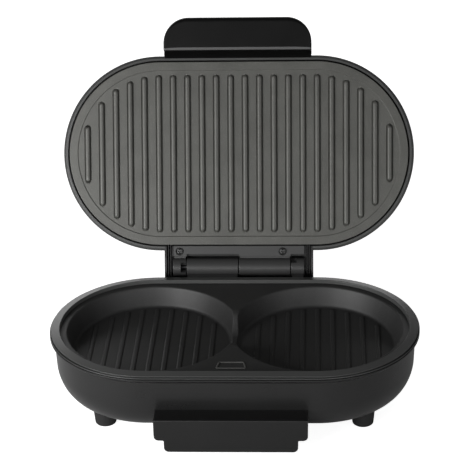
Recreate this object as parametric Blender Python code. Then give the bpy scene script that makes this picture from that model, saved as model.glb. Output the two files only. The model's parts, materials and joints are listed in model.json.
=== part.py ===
"""Double omelette maker with a hinged ribbed lid, modelled with the lid open.

The model stands on the plane Z = 0, +X is the user's right and +Y is the back.
Every piece is drawn in one working frame: the lid closed, the middle of the base rim's top face
at zero. The lid's pieces hang on an empty on the hinge axis, which turns them to the open pose.
"""

import math
from typing import NamedTuple

import bmesh
import bpy
from mathutils import Vector

# Pans, which the whole outline follows, in metres
PAN_FLOOR_RADIUS = 0.0665
PAN_WALL_RUN = 0.0056
PAN_DEPTH = 0.0170
PAN_LIP_ROUND = 0.0040
PAN_FLOOR_ROUND = 0.0030
PAN_TO_OUTLINE = 0.0145
WEB_THICKNESS = 0.0058

# Heights, walls and clearances
RIM_HEIGHT = 0.0703
WALL = 0.0022
SEAT_GAP = 0.0003
CUT_OVERRUN = 0.002

# Hinge and lid travel
LID_OPEN_DEGREES = 112.3
LID_GAP = 0.0008
HINGE_BEHIND_OUTLINE = 0.0147
HINGE_LIFT = 0.0020
BARREL_RADIUS = 0.0080
PIN_RADIUS = 0.0024
KNUCKLE_LONG = 0.0465
KNUCKLE_SHORT = 0.0120
KNUCKLE_GAP = 0.0006
KNUCKLE_NOTCH_WIDTH = 0.0055
KNUCKLE_NOTCH_HEIGHT = 0.0060
ARM_SIDE_INSET = 0.0008
ARM_REACH = 0.0140
ARM_ROOT = 0.0007
BASE_ARM_TOP_DROP = 0.0035
BASE_BAR_GAP = 0.0005
BASE_BAR_UNDER_FLANGE = 0.0009
BASE_BAR_UNDER_BARREL = 0.0012
LID_BRACKET_THICKNESS = 0.0032
LID_BRACKET_GAP = 0.0009
LID_BRACKET_TO_BARREL = 0.0013
SCREW_HEAD_RADIUS = 0.0033
SCREW_HEAD_HEIGHT = 0.0016
SCREW_HEAD_SINK = 0.0004
SCREW_SHANK_RADIUS = 0.0015
SCREW_LENGTH = 0.0070
SCREW_FROM_END = 0.0058
SCREW_FROM_LONG_END = 0.0071
SCREW_FROM_FRONT = 0.0050

# Hood of the lid over the hinge
HOOD_CLEARANCE = 0.0020
HOOD_SIDE_CLEARANCE = 0.0060
HOOD_WALL = 0.0020
HOOD_ROUND = 0.0030
HOOD_HOLLOW_GAP = 0.0005
HOOD_EDGE_LIFT = 0.0005
HOOD_ROOT_DEPTH = 0.0037

# Rim ring of the base
RIM_THICKNESS = 0.0031
RIM_STRIP_INSET = 0.0026
RIM_BEVEL_DROP = 0.0016
RIM_OVER_PLATE = 0.0008
RIM_INNER_BEVEL = 0.0018
RIM_GROOVE_HEIGHT = 0.0009
RIM_GROOVE_DEPTH = 0.0012

# Housings: flange, wall and rounded corner
WALL_INSET = 0.0036
WALL_DRAFT = 0.0007
LOWER_FLANGE = 0.0014
LOWER_UNDERCUT = 0.0030
LOWER_SHOULDER = 0.0285
LOWER_BOTTOM = 0.0565
LOWER_CORNER = 0.0213
LOWER_LEDGE_WIDTH = 0.0020
LOWER_LEDGE_HEIGHT = 0.0010
UPPER_FLANGE = 0.0050
UPPER_UNDERCUT = 0.0030
UPPER_SHOULDER = 0.0160
UPPER_TOP = 0.0285
UPPER_CORNER = 0.0260
UPPER_RIM_WIDTH = 0.0048
UPPER_RIM_DEPTH = 0.0046

# Hinge shelf of the lower housing
SHELF_SIDE_INSET = 0.0005
SHELF_BACK_INSET = 0.0008
SHELF_ROUND = 0.0080
SHELF_BOTTOM_BEVEL = 0.0040
SHELF_ROOT_DEPTH = 0.0330
SHELF_STOP_GAP = 0.0004

# Lower plate round its pans
PLATE_DROP = 0.0027
PLATE_THICKNESS = 0.0024
WEB_TROUGH_REACH = 0.0051
WEB_HALF_LENGTH = 0.0285
WEB_FLAT_HALF_LENGTH = 0.0090
WEB_DIP = 0.0145
WEB_ROOT_REACH = 0.0021
WEB_ROOT_HALF_LENGTH = 0.0220
WEB_ROOT_PROUD = 0.0008
RIB_PITCH = 0.0128
PAN_RIB_WIDTH = 0.0044
PAN_RIB_HEIGHT = 0.0009
PAN_RIB_MARGIN = 0.0045
PAD_BACK_WIDTH = 0.0200
PAD_FRONT_WIDTH = 0.0250
PAD_LENGTH = 0.0110
PAD_INSET = 0.0176
PAD_DEPTH = 0.0006

# Upper plate with its ribs
LID_FACE_RECESS = 0.0004
LID_PLATE_INSET = 0.0052
LID_FIELD_INSET = 0.0130
LID_FIELD_STEP = 0.0006
LID_RIB_INSET = 0.0170
LID_RIB_WIDTH = 0.0050
LID_RIB_HEIGHT = 0.0024

# Grips
UPPER_GRIP_HALF_WIDTH = 0.0655
UPPER_GRIP_REACH = 0.0339
UPPER_GRIP_NECK = 0.0061
UPPER_GRIP_CORNER = 0.0220
UPPER_GRIP_TOP = 0.0110
UPPER_GRIP_TOP_FRONT = 0.0080
UPPER_GRIP_BOTTOM = 0.0050
UPPER_GRIP_NECK_LIFT = 0.0018
GRIP_EDGE_ROUND = 0.0020
LOWER_GRIP_HALF_WIDTH = 0.0625
LOWER_GRIP_STEP_INSET = 0.0080
LOWER_GRIP_REACH = 0.0114
LOWER_GRIP_TOP_DEPTH = 0.0340
LOWER_GRIP_STEP_DEPTH = 0.0536
LOWER_GRIP_BOTTOM_DEPTH = 0.0644
LOWER_GRIP_CORNER = 0.0040
LOWER_GRIP_INNER_CORNER = 0.0010
LOWER_GRIP_ROOT_DEPTH = 0.0170

# Feet
FRONT_FOOT_PAST_PAN = 0.0386
FRONT_FOOT_FROM_EDGE = 0.0446
REAR_FOOT_FROM_SIDE = 0.0160
REAR_FOOT_FROM_BACK = 0.0155
FOOT_TOP_RADIUS = 0.0100
FOOT_BOTTOM_RADIUS = 0.0088
FOOT_EDGE_ROUND = 0.0015
FOOT_SOCKET_DEPTH = 0.0080

# Heating and wiring pieces inside the two halves
ELEMENT_RADIUS = 0.0032
ELEMENT_FROM_WALL = 0.0245
ELEMENT_LEG_SPACING = 0.0240
ELEMENT_LEG_LENGTH = 0.0180
REFLECTOR_SHEET = 0.0008
REFLECTOR_CLEARANCE = 0.0018
REFLECTOR_SIDE_GAP = 0.0004
LOWER_REFLECTOR_FLOOR_MARGIN = 0.0025
UPPER_REFLECTOR_CLEARANCE = 0.0020
UPPER_REFLECTOR_INSET = 0.0126
UPPER_REFLECTOR_FLARE = 0.0080
THERMOSTAT_RADIUS = 0.0080
THERMOSTAT_HEIGHT = 0.0080
FUSE_RADIUS = 0.0025
FUSE_LENGTH = 0.0240
FUSE_SIDE = 0.0180
TERMINAL_WIDTH = 0.0360
TERMINAL_DEPTH = 0.0140
TERMINAL_HEIGHT = 0.0140
GLAND_SIDE = 0.0380
GLAND_DEPTH = 0.0360
GLAND_FLANGE_RADIUS = 0.0075
GLAND_BODY_RADIUS = 0.0055
GLAND_BORE_RADIUS = 0.0034
GLAND_FLANGE_LENGTH = 0.0020
GLAND_BODY_LENGTH = 0.0090
LENS_RADIUS = 0.0040
LENS_SPACING = 0.0200
LENS_INSET = 0.0123
LENS_LENGTH = 0.0040
LENS_CROWN = 0.0010
LENS_COLLAR = 0.0008

# Facets
HALF_ROUND_STEPS = 18
CIRCLE_STEPS = 40
SMALL_CIRCLE_STEPS = 20
CORNER_STEPS = 4
RIB_END_STEPS = 3
SHARP_ANGLE = math.radians(35)

# The outline follows the pans: a half circle round each, joined by straights
PAN_TOP_RADIUS = PAN_FLOOR_RADIUS + PAN_WALL_RUN
PAN_DRAFT = PAN_WALL_RUN / PAN_DEPTH
OUTLINE_RADIUS = PAN_TOP_RADIUS + PAN_TO_OUTLINE
HALF_STRAIGHT = PAN_FLOOR_RADIUS + WEB_THICKNESS / 2
WALL_RADIUS = OUTLINE_RADIUS - WALL_INSET
INNER_RADIUS = WALL_RADIUS - WALL
RIM_INNER_RADIUS = INNER_RADIUS - RIM_OVER_PLATE

# Heights, from the rim's top face at zero
FLANGE_Z = -RIM_THICKNESS - SEAT_GAP
PLATE_TOP_Z = -PLATE_DROP
PLATE_FLANGE_Z = FLANGE_Z
PLATE_UNDER_Z = PLATE_FLANGE_Z - PLATE_THICKNESS
PAN_FLOOR_Z = PLATE_TOP_Z - PAN_DEPTH
PAN_UNDER_Z = PAN_FLOOR_Z - PLATE_THICKNESS
WEB_ROOT_Z = PAN_UNDER_Z - WEB_ROOT_PROUD
LOWER_CAN_TOP_Z = WEB_ROOT_Z - SEAT_GAP
LOWER_REFLECTOR_Z = LOWER_CAN_TOP_Z - THERMOSTAT_HEIGHT - REFLECTOR_CLEARANCE
LID_FACE_Z = LID_GAP + LID_FACE_RECESS
LID_FIELD_Z = LID_FACE_Z + LID_FIELD_STEP
LID_PLATE_TOP_Z = LID_FIELD_Z + PLATE_THICKNESS

# Hinge, hood and shelf, each measured from the hinge axis or the one before it
LID_OPEN = math.radians(LID_OPEN_DEGREES)
HINGE_BACK = OUTLINE_RADIUS + HINGE_BEHIND_OUTLINE
BORE_RADIUS = PIN_RADIUS + SEAT_GAP
BRACKET_HALF_WIDTH = KNUCKLE_LONG + KNUCKLE_SHORT
BASE_BAR_TOP_Z = HINGE_LIFT - BARREL_RADIUS - BASE_BAR_GAP
BASE_BAR_FRONT = HINGE_BEHIND_OUTLINE + BASE_BAR_UNDER_FLANGE
BASE_BAR_BACK = BARREL_RADIUS - BASE_BAR_UNDER_BARREL
LID_BRACKET_FRONT = HINGE_BEHIND_OUTLINE + LID_PLATE_INSET - LID_BRACKET_GAP
LID_BRACKET_BACK = BARREL_RADIUS + LID_BRACKET_TO_BARREL
SCREW_FAR = BRACKET_HALF_WIDTH - SCREW_FROM_END
SCREW_NEAR = KNUCKLE_LONG - SCREW_FROM_LONG_END
HOOD_REACH = BARREL_RADIUS + HOOD_CLEARANCE + HOOD_WALL
HOOD_HALF_WIDTH = BRACKET_HALF_WIDTH + HOOD_SIDE_CLEARANCE + HOOD_WALL
HOOD_HOLLOW_FRONT = LID_BRACKET_BACK + HOOD_HOLLOW_GAP
HOOD_ROOT = HINGE_BEHIND_OUTLINE + WALL_INSET + HOOD_ROOT_DEPTH
HOOD_CORNER = HOOD_REACH - HOOD_ROUND
HOOD_CORNER_DROP = HOOD_CORNER * (math.sin(LID_OPEN) - math.cos(LID_OPEN)) + HOOD_ROUND
SHELF_Z = HINGE_LIFT - HOOD_CORNER_DROP - SHELF_STOP_GAP
SHELF_BACK = HINGE_BACK + HOOD_REACH - SHELF_BACK_INSET
SHELF_HALF_WIDTH = HOOD_HALF_WIDTH - SHELF_SIDE_INSET
SHELF_ROOT = WALL_RADIUS - SHELF_ROOT_DEPTH
REAR_FOOT_BACK = SHELF_BACK - REAR_FOOT_FROM_BACK


class Finish(NamedTuple):
    """A surface: linear colour, roughness and metallic value."""

    name: str
    colour: tuple
    roughness: float
    metallic: float = 0.0


HOUSING_BLACK = Finish("satin_black_housing", (0.020, 0.020, 0.021), 0.34)
RIM_BLACK = Finish("satin_rim", (0.070, 0.070, 0.070), 0.38)
COATED_DARK = Finish("dark_non_stick", (0.014, 0.014, 0.015), 0.30, 0.2)
COATED_GREY = Finish("grey_non_stick", (0.105, 0.105, 0.098), 0.45, 0.3)
GRIP_BLACK = Finish("grip_black", (0.012, 0.012, 0.013), 0.40)
HINGE_GREY = Finish("hinge_grey", (0.060, 0.060, 0.062), 0.42)
STEEL = Finish("zinc_steel", (0.45, 0.45, 0.47), 0.35, 1.0)
DARK_STEEL = Finish("dark_steel", (0.055, 0.055, 0.058), 0.35, 0.9)
SHEET_STEEL = Finish("sheet_steel", (0.60, 0.60, 0.60), 0.30, 1.0)
ELEMENT_STEEL = Finish("element_sheath", (0.16, 0.15, 0.14), 0.50, 0.8)
RUBBER = Finish("rubber", (0.015, 0.015, 0.015), 0.75)
CERAMIC = Finish("ceramic", (0.72, 0.69, 0.62), 0.60)
RED_LENS = Finish("red_lens", (0.42, 0.02, 0.015), 0.18)
GREEN_LENS = Finish("green_lens", (0.02, 0.30, 0.05), 0.18)


class Frame(NamedTuple):
    """Where a group of pieces hangs: its empty and the working frame's place under it."""

    empty: bpy.types.Object
    offset: Vector


def clear_scene():
    """Empties the file of objects."""
    for obj in list(bpy.data.objects):
        bpy.data.objects.remove(obj, do_unlink=True)


def material_for(finish):
    """Returns the finish as a material, made once."""
    known = bpy.data.materials.get(finish.name)
    if known:
        return known
    material = bpy.data.materials.new(finish.name)
    material.use_nodes = True
    shader = material.node_tree.nodes["Principled BSDF"]
    shader.inputs["Base Color"].default_value = (*finish.colour, 1)
    shader.inputs["Roughness"].default_value = finish.roughness
    shader.inputs["Metallic"].default_value = finish.metallic
    return material


def make_object(name, bm, finish, frame):
    """Turns a bmesh in the working frame into an object of its group."""
    bmesh.ops.recalc_face_normals(bm, faces=bm.faces)
    mesh = bpy.data.meshes.new(name)
    bm.to_mesh(mesh)
    bm.free()
    mesh.shade_smooth()
    mesh.set_sharp_from_angle(angle=SHARP_ANGLE)
    mesh.materials.append(material_for(finish))
    obj = bpy.data.objects.new(name, mesh)
    bpy.context.collection.objects.link(obj)
    obj.parent = frame.empty
    obj.location = frame.offset
    return obj


def shape_with(target, bm, operation, label, crossing=False):
    """Adds a Boolean of the target with a helper, which is kept as a hidden guide.

    Args:
        target: The object to shape.
        bm: The helper's solid, or several gathered ones.
        operation: UNION, DIFFERENCE or INTERSECT.
        label: Name of the helper and of its modifier.
        crossing: True where the helper's own solids cross each other.

    Returns:
        The target.
    """
    tool = bpy.data.objects.new(f"{target.name}_{label}", bpy.data.meshes.new(label))
    bmesh.ops.recalc_face_normals(bm, faces=bm.faces)
    bm.to_mesh(tool.data)
    bm.free()
    bpy.context.collection.objects.link(tool)
    tool.parent = target.parent
    tool.location = target.location
    tool.hide_render = True
    tool.display_type = "WIRE"
    modifier = target.modifiers.new(label, "BOOLEAN")
    modifier.operation = operation
    modifier.object = tool
    modifier.use_self = crossing
    return target


def stadium(radius, z):
    """Returns one level ring of the body's outline: two half circles joined by straights."""
    ring = []
    for side, start in ((1, -math.pi / 2), (-1, math.pi / 2)):
        for step in range(HALF_ROUND_STEPS + 1):
            angle = start + math.pi * step / HALF_ROUND_STEPS
            x = side * HALF_STRAIGHT + radius * math.cos(angle)
            ring.append(Vector((x, radius * math.sin(angle), z)))
    return ring


def circle(centre, radius, z, steps=CIRCLE_STEPS):
    """Returns a level circle about a point given by its x and y."""
    turns = (math.tau * step / steps for step in range(steps))
    return [Vector((centre[0] + radius * math.cos(a), centre[1] + radius * math.sin(a), z)) for a in turns]


def arc_points(centre, radius, start, end, steps=CORNER_STEPS):
    """Returns points of a flat arc about a centre, angles in radians."""
    angles = (start + (end - start) * step / steps for step in range(steps + 1))
    return [(centre[0] + radius * math.cos(a), centre[1] + radius * math.sin(a)) for a in angles]


def rounded(corners, steps=CORNER_STEPS, closed=True):
    """Rounds a flat outline whose corners are (u, v, radius); a zero radius stays sharp.

    Args:
        corners: The corners in order, each with its own radius.
        steps: Facets of each rounded corner.
        closed: False for an open line, whose two ends stay as they are.

    Returns:
        The outline's points as (u, v).
    """
    points = []
    count = len(corners)
    for index, (u, v, radius) in enumerate(corners):
        at_end = not closed and index in (0, count - 1)
        if radius == 0 or at_end:
            points.append((u, v))
            continue
        here = Vector((u, v))
        before = (Vector(corners[index - 1][:2]) - here).normalized()
        after = (Vector(corners[(index + 1) % count][:2]) - here).normalized()
        half = before.angle(after) / 2
        reach = radius / math.tan(half)
        centre = here + (before + after).normalized() * (radius / math.sin(half))
        first = here + before * reach - centre
        turn = first.angle_signed(here + after * reach - centre)
        base = math.atan2(first.y, first.x)
        points += arc_points(centre, radius, base, base - turn, steps)
    return points


def skin(rings, closed=False):
    """Skins equal rings into a solid, capped at both ends or closed on itself."""
    bm = bmesh.new()
    loops = [[bm.verts.new(point) for point in ring] for ring in rings]
    pairs = list(zip(loops, loops[1:]))
    if closed:
        pairs.append((loops[-1], loops[0]))
    else:
        bm.faces.new(loops[0])
        bm.faces.new(loops[-1])
    for lower, upper in pairs:
        for index, vertex in enumerate(lower):
            following = (index + 1) % len(lower)
            bm.faces.new((vertex, lower[following], upper[following], upper[index]))
    return bm


def stadium_solid(section, closed=False):
    """Skins a (radius, z) section round the body's outline."""
    return skin([stadium(radius, z) for radius, z in section], closed)


def turned(profile, centre=(0, 0), steps=CIRCLE_STEPS):
    """Skins a (radius, z) profile round an upright axis."""
    return skin([circle(centre, radius, z, steps) for radius, z in profile])


def prism(outline, axis, low, high):
    """Extrudes a flat outline along X, Y or Z.

    Args:
        outline: Points (u, v), which are (y, z) for X, (x, z) for Y and (x, y) for Z.
        axis: The letter of the axis.
        low: Where the extrusion starts.
        high: Where it ends.

    Returns:
        The closed solid.
    """
    place = {
        "X": lambda u, v, w: Vector((w, u, v)),
        "Y": lambda u, v, w: Vector((u, w, v)),
        "Z": lambda u, v, w: Vector((u, v, w)),
    }[axis]
    return skin([[place(u, v, w) for u, v in outline] for w in (low, high)])


def box(low, high):
    """Returns a plain box between two corners."""
    outline = [(low[0], low[1]), (high[0], low[1]), (high[0], high[1]), (low[0], high[1])]
    return prism(outline, "Z", low[2], high[2])


def turned_along(axis, profile, centre, steps=SMALL_CIRCLE_STEPS):
    """Skins a (radius, place) profile round a level axis through a point.

    Args:
        axis: "X" or "Y".
        profile: Pairs of radius and place along the axis.
        centre: The axis's other two coordinates, (y, z) for X and (x, z) for Y.
        steps: Facets round the axis.

    Returns:
        The closed solid.
    """
    rings = []
    for radius, place in profile:
        points = arc_points(centre, radius, 0, math.tau, steps)[:-1]
        rings.append([Vector((place, u, v) if axis == "X" else (u, place, v)) for u, v in points])
    return skin(rings)


def merged(solids):
    """Gathers separate solids into one bmesh, for one Boolean."""
    whole = bmesh.new()
    for solid in solids:
        piece = bpy.data.meshes.new("piece")
        bmesh.ops.recalc_face_normals(solid, faces=solid.faces)
        solid.to_mesh(piece)
        solid.free()
        whole.from_mesh(piece)
        bpy.data.meshes.remove(piece)
    return whole


def corner_sweep(radius, width, near_z, far_z):
    """Returns the elliptical corner between a wall and the floor or top beyond it.

    Args:
        radius: Radius of the wall where the corner starts.
        width: How far the corner reaches inwards.
        near_z: Height where the wall ends.
        far_z: Height of the floor or top.

    Returns:
        Pairs (radius, z) from the wall to the flat.
    """
    quarter = [math.pi / 2 * step / CORNER_STEPS for step in range(CORNER_STEPS + 1)]
    return [(radius - width + width * math.cos(a), near_z + (far_z - near_z) * math.sin(a)) for a in quarter]


def lower_outer_section(grow=0.0):
    """Returns the lower housing's outside from its flange to its bottom, grown by a gap."""
    flange_low = FLANGE_Z - LOWER_FLANGE
    section = [
        (OUTLINE_RADIUS + grow, FLANGE_Z),
        (OUTLINE_RADIUS + grow, flange_low),
        (WALL_RADIUS + grow, flange_low - LOWER_UNDERCUT),
    ]
    return section + corner_sweep(
        WALL_RADIUS - WALL_DRAFT + grow, LOWER_CORNER, -LOWER_SHOULDER, -LOWER_BOTTOM - grow
    )


def shelf_solid(inset, top):
    """Returns the hinge shelf's body, drawn in by a wall for its hollow."""
    half = SHELF_HALF_WIDTH - inset
    back = SHELF_BACK - inset
    corner = SHELF_ROUND - inset
    bottom = -LOWER_BOTTOM + inset

    def ring(draw_in, z):
        outline = [
            (-half + draw_in, SHELF_ROOT, 0),
            (half - draw_in, SHELF_ROOT, 0),
            (half - draw_in, back - draw_in, corner - draw_in),
            (-half + draw_in, back - draw_in, corner - draw_in),
        ]
        return [Vector((x, y, z)) for x, y in rounded(outline)]

    return skin([ring(SHELF_BOTTOM_BEVEL, bottom), ring(0, bottom + SHELF_BOTTOM_BEVEL), ring(0, top)])


def make_lower_housing(base):
    """Makes the bowl with its plate ledge, the hinge shelf behind it and the gland's hole."""
    ledge_z = PLATE_UNDER_Z - SEAT_GAP
    ledge_radius = INNER_RADIUS - LOWER_LEDGE_WIDTH
    ledge_low = ledge_z - LOWER_LEDGE_HEIGHT
    inner = [
        (INNER_RADIUS, FLANGE_Z),
        (INNER_RADIUS, ledge_z),
        (ledge_radius, ledge_z),
        (ledge_radius, ledge_low),
        (INNER_RADIUS - WALL_DRAFT, ledge_low - LOWER_LEDGE_WIDTH),
    ]
    inner += corner_sweep(INNER_RADIUS - WALL_DRAFT, LOWER_CORNER, -LOWER_SHOULDER, -LOWER_BOTTOM + WALL)
    housing = make_object("lower_housing", stadium_solid(lower_outer_section()), HOUSING_BLACK, base)
    shape_with(housing, shelf_solid(0, SHELF_Z), "UNION", "shelf")
    above = (INNER_RADIUS, FLANGE_Z + CUT_OVERRUN)
    shape_with(housing, stadium_solid([above, *inner]), "DIFFERENCE", "hollow")
    shape_with(housing, shelf_solid(WALL, SHELF_Z - WALL), "DIFFERENCE", "shelf_hollow")
    hole = [
        (GLAND_BODY_RADIUS + SEAT_GAP, SHELF_BACK - WALL - CUT_OVERRUN),
        (GLAND_BODY_RADIUS + SEAT_GAP, SHELF_BACK + CUT_OVERRUN),
    ]
    shape_with(housing, turned_along("Y", hole, (GLAND_SIDE, -GLAND_DEPTH)), "DIFFERENCE", "gland_hole")
    low, high = SHELF_Z - WALL - CUT_OVERRUN, SHELF_Z + CUT_OVERRUN
    holes = [screw_hole(place, low, high) for place in base_screw_places()]
    shape_with(housing, merged(holes), "DIFFERENCE", "screw_holes")
    return housing


def base_screw_places():
    """Returns the x and y of the base bracket's two screws, both beside its arms."""
    y = HINGE_BACK - (BASE_BAR_FRONT + BASE_BAR_BACK) / 2
    return ((-SCREW_FAR, y), (KNUCKLE_LONG / 2, y))


def lid_screw_places():
    """Returns the x and y of the lid bracket's two screws."""
    y = HINGE_BACK - LID_BRACKET_FRONT + SCREW_FROM_FRONT
    return ((-SCREW_FAR, y), (SCREW_NEAR, y))


def screw_hole(place, low, high):
    """Returns the clearance hole of a screw's shank."""
    radius = SCREW_SHANK_RADIUS + SEAT_GAP
    return turned([(radius, low), (radius, high)], place, SMALL_CIRCLE_STEPS)


def make_lower_rim(base):
    """Makes the narrow bezel ring: flat top, both sides sloped and a shadow groove below it."""
    groove_z = -RIM_THICKNESS + RIM_GROOVE_HEIGHT
    groove_radius = OUTLINE_RADIUS - RIM_GROOVE_DEPTH
    section = [
        (groove_radius, -RIM_THICKNESS),
        (groove_radius, groove_z),
        (OUTLINE_RADIUS, groove_z),
        (OUTLINE_RADIUS, -RIM_BEVEL_DROP),
        (OUTLINE_RADIUS - RIM_STRIP_INSET, 0),
        (RIM_INNER_RADIUS + RIM_INNER_BEVEL, 0),
        (RIM_INNER_RADIUS, -RIM_INNER_BEVEL),
        (RIM_INNER_RADIUS, -RIM_THICKNESS),
    ]
    return make_object("lower_rim", stadium_solid(section, closed=True), RIM_BLACK, base)


def pan_cutter(side):
    """Returns the hollow of one pan: floor, drafted wall and rounded lip."""
    line = [
        (0, PAN_FLOOR_Z, 0),
        (PAN_FLOOR_RADIUS, PAN_FLOOR_Z, PAN_FLOOR_ROUND),
        (PAN_TOP_RADIUS, PLATE_TOP_Z, PAN_LIP_ROUND),
        (PAN_TOP_RADIUS + PAN_LIP_ROUND, PLATE_TOP_Z, 0),
    ]
    wall = rounded(line, closed=False)[1:-2]
    top = (wall[-1][0], CUT_OVERRUN)
    return turned([*wall, top], (side * HALF_STRAIGHT, 0))


def pan_cup(side):
    """Returns the outside of one pan, a plate's thickness away from its hollow."""
    slant = PLATE_THICKNESS * math.hypot(1, PAN_DRAFT)
    rise = PLATE_UNDER_Z - PAN_UNDER_Z + PLATE_THICKNESS / 2
    low_radius = PAN_FLOOR_RADIUS - PLATE_THICKNESS * PAN_DRAFT + slant
    line = [
        (0, PAN_UNDER_Z, 0),
        (low_radius, PAN_UNDER_Z, PAN_FLOOR_ROUND),
        (low_radius + rise * PAN_DRAFT, PAN_UNDER_Z + rise, 0),
    ]
    return turned(rounded(line, CORNER_STEPS // 2, closed=False)[1:], (side * HALF_STRAIGHT, 0))


def web_trough():
    """Returns the dip in the web's crest, a smooth step from each cusp to near the floor."""
    crest = []
    span = WEB_HALF_LENGTH - WEB_FLAT_HALF_LENGTH
    for side in (-1, 1):
        steps = range(CORNER_STEPS + 1)
        for step in steps if side > 0 else reversed(steps):
            share = step / CORNER_STEPS
            fall = 1 - share * share * (3 - 2 * share)
            crest.append((side * (WEB_FLAT_HALF_LENGTH + span * share), PLATE_TOP_Z - WEB_DIP * fall))
    crest.append((WEB_HALF_LENGTH, CUT_OVERRUN))
    crest.append((-WEB_HALF_LENGTH, CUT_OVERRUN))
    half_width = WEB_THICKNESS / 2 + WEB_TROUGH_REACH
    return prism(crest, "X", -half_width, half_width)


def capsule_ring(x, half_length, half_width, z, steps=RIB_END_STEPS):
    """Returns a level ring with round ends along Y."""
    ring = []
    reach = half_length - half_width
    for side, start in ((1, 0.0), (-1, math.pi)):
        end = arc_points((x, side * reach), half_width, start, start + math.pi, steps)
        ring += [Vector((u, v, z)) for u, v in end]
    return ring


def rib(x, half_length, width, height, foot_z, toward):
    """Returns one rib with a rounded crest and ends, rooted in the face that carries it.

    Args:
        x: The rib's place.
        half_length: Half of its length at the face.
        width: Its width at the face.
        height: How far it stands proud.
        foot_z: Height of the face.
        toward: 1 for a rib that stands up, -1 for one that hangs down.

    Returns:
        The closed solid.
    """
    crest_shares = ((1.00, -0.40), (0.90, 0.40), (0.64, 0.82), (0.26, 1.0))
    rings = []
    for width_share, height_share in crest_shares:
        half_width = width / 2 * width_share
        drawn_in = half_length - (width / 2 - half_width)
        rings.append(capsule_ring(x, drawn_in, half_width, foot_z + toward * height * height_share))
    return skin(rings)


def rib_places(reach):
    """Returns the places of the ribs on their pitch, mirrored about the middle, up to a reach."""
    count = math.floor(reach / RIB_PITCH + 1 / 2)
    return [side * (index + 1 / 2) * RIB_PITCH for side in (-1, 1) for index in range(count)]


def rib_half_length(x, radius):
    """Returns half the length of a rib that ends on the stadium of a radius."""
    past_straight = max(abs(x) - HALF_STRAIGHT, 0)
    return math.sqrt(radius**2 - past_straight**2)


def pan_ribs():
    """Returns the floor ribs of both pans on the lid ribs' pitch."""
    reach = PAN_FLOOR_RADIUS - PAN_RIB_MARGIN
    ribs = []
    for x in rib_places(HALF_STRAIGHT + reach):
        off_centre = abs(x) - HALF_STRAIGHT
        if abs(off_centre) > reach - PAN_RIB_WIDTH:
            continue
        half_length = math.sqrt(reach**2 - off_centre**2)
        ribs.append(rib(x, half_length, PAN_RIB_WIDTH, PAN_RIB_HEIGHT, PAN_FLOOR_Z, 1))
    return merged(ribs)


def make_lower_plate(base):
    """Makes the cast plate: flange, two pans, the low web between them, ribs and front pad."""
    flange_radius = INNER_RADIUS - SEAT_GAP
    step_radius = RIM_INNER_RADIUS - SEAT_GAP
    slab = [
        (flange_radius, PLATE_UNDER_Z),
        (flange_radius, PLATE_FLANGE_Z),
        (step_radius, PLATE_FLANGE_Z),
        (step_radius, PLATE_TOP_Z),
    ]
    plate = make_object("lower_plate", stadium_solid(slab), COATED_DARK, base)
    root_top = PLATE_UNDER_Z + PLATE_THICKNESS / 4
    root_half = WEB_THICKNESS / 2 + WEB_ROOT_REACH
    root = box(
        (-root_half, -WEB_ROOT_HALF_LENGTH, WEB_ROOT_Z),
        (root_half, WEB_ROOT_HALF_LENGTH, root_top),
    )
    cups = merged([pan_cup(-1), pan_cup(1), root])
    shape_with(plate, cups, "UNION", "cups", crossing=True)
    hollows = merged([pan_cutter(-1), pan_cutter(1), web_trough()])
    shape_with(plate, hollows, "DIFFERENCE", "hollows", crossing=True)
    shape_with(plate, pan_ribs(), "UNION", "ribs")
    pad_front = -OUTLINE_RADIUS + PAD_INSET
    pad_back = pad_front + PAD_LENGTH
    pad = [
        (-PAD_BACK_WIDTH / 2, pad_back),
        (PAD_BACK_WIDTH / 2, pad_back),
        (PAD_FRONT_WIDTH / 2, pad_front),
        (-PAD_FRONT_WIDTH / 2, pad_front),
    ]
    shape_with(plate, prism(pad, "Z", PLATE_TOP_Z - PAD_DEPTH, CUT_OVERRUN), "DIFFERENCE", "pad")
    return plate


def make_lower_handle(base):
    """Makes the stepped front grip, whose back follows the bowl's wall."""
    step_half = LOWER_GRIP_HALF_WIDTH - LOWER_GRIP_STEP_INSET
    front = -OUTLINE_RADIUS - LOWER_GRIP_REACH
    root = -WALL_RADIUS + LOWER_GRIP_ROOT_DEPTH
    front_outline = []
    for side in (-1, 1):
        corners = [
            (side * LOWER_GRIP_HALF_WIDTH, -LOWER_GRIP_TOP_DEPTH, 0),
            (side * LOWER_GRIP_HALF_WIDTH, -LOWER_GRIP_STEP_DEPTH, LOWER_GRIP_CORNER),
            (side * step_half, -LOWER_GRIP_STEP_DEPTH, LOWER_GRIP_INNER_CORNER),
            (side * step_half, -LOWER_GRIP_BOTTOM_DEPTH, LOWER_GRIP_CORNER),
        ]
        front_outline += corners if side < 0 else corners[::-1]
    body = prism(rounded(front_outline, CORNER_STEPS // 2), "Y", front, root)
    handle = make_object("lower_handle", body, GRIP_BLACK, base)
    overrun = LOWER_GRIP_HALF_WIDTH + CUT_OVERRUN
    plan = [
        (-LOWER_GRIP_HALF_WIDTH, front, LOWER_GRIP_CORNER),
        (LOWER_GRIP_HALF_WIDTH, front, LOWER_GRIP_CORNER),
        (overrun, root + CUT_OVERRUN, 0),
        (-overrun, root + CUT_OVERRUN, 0),
    ]
    low = -LOWER_GRIP_BOTTOM_DEPTH - CUT_OVERRUN
    high = -LOWER_GRIP_TOP_DEPTH + CUT_OVERRUN
    shape_with(handle, prism(rounded(plan), "Z", low, high), "INTERSECT", "plan")
    shape_with(handle, stadium_solid(lower_outer_section(SEAT_GAP)), "DIFFERENCE", "seat")
    return handle


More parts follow.
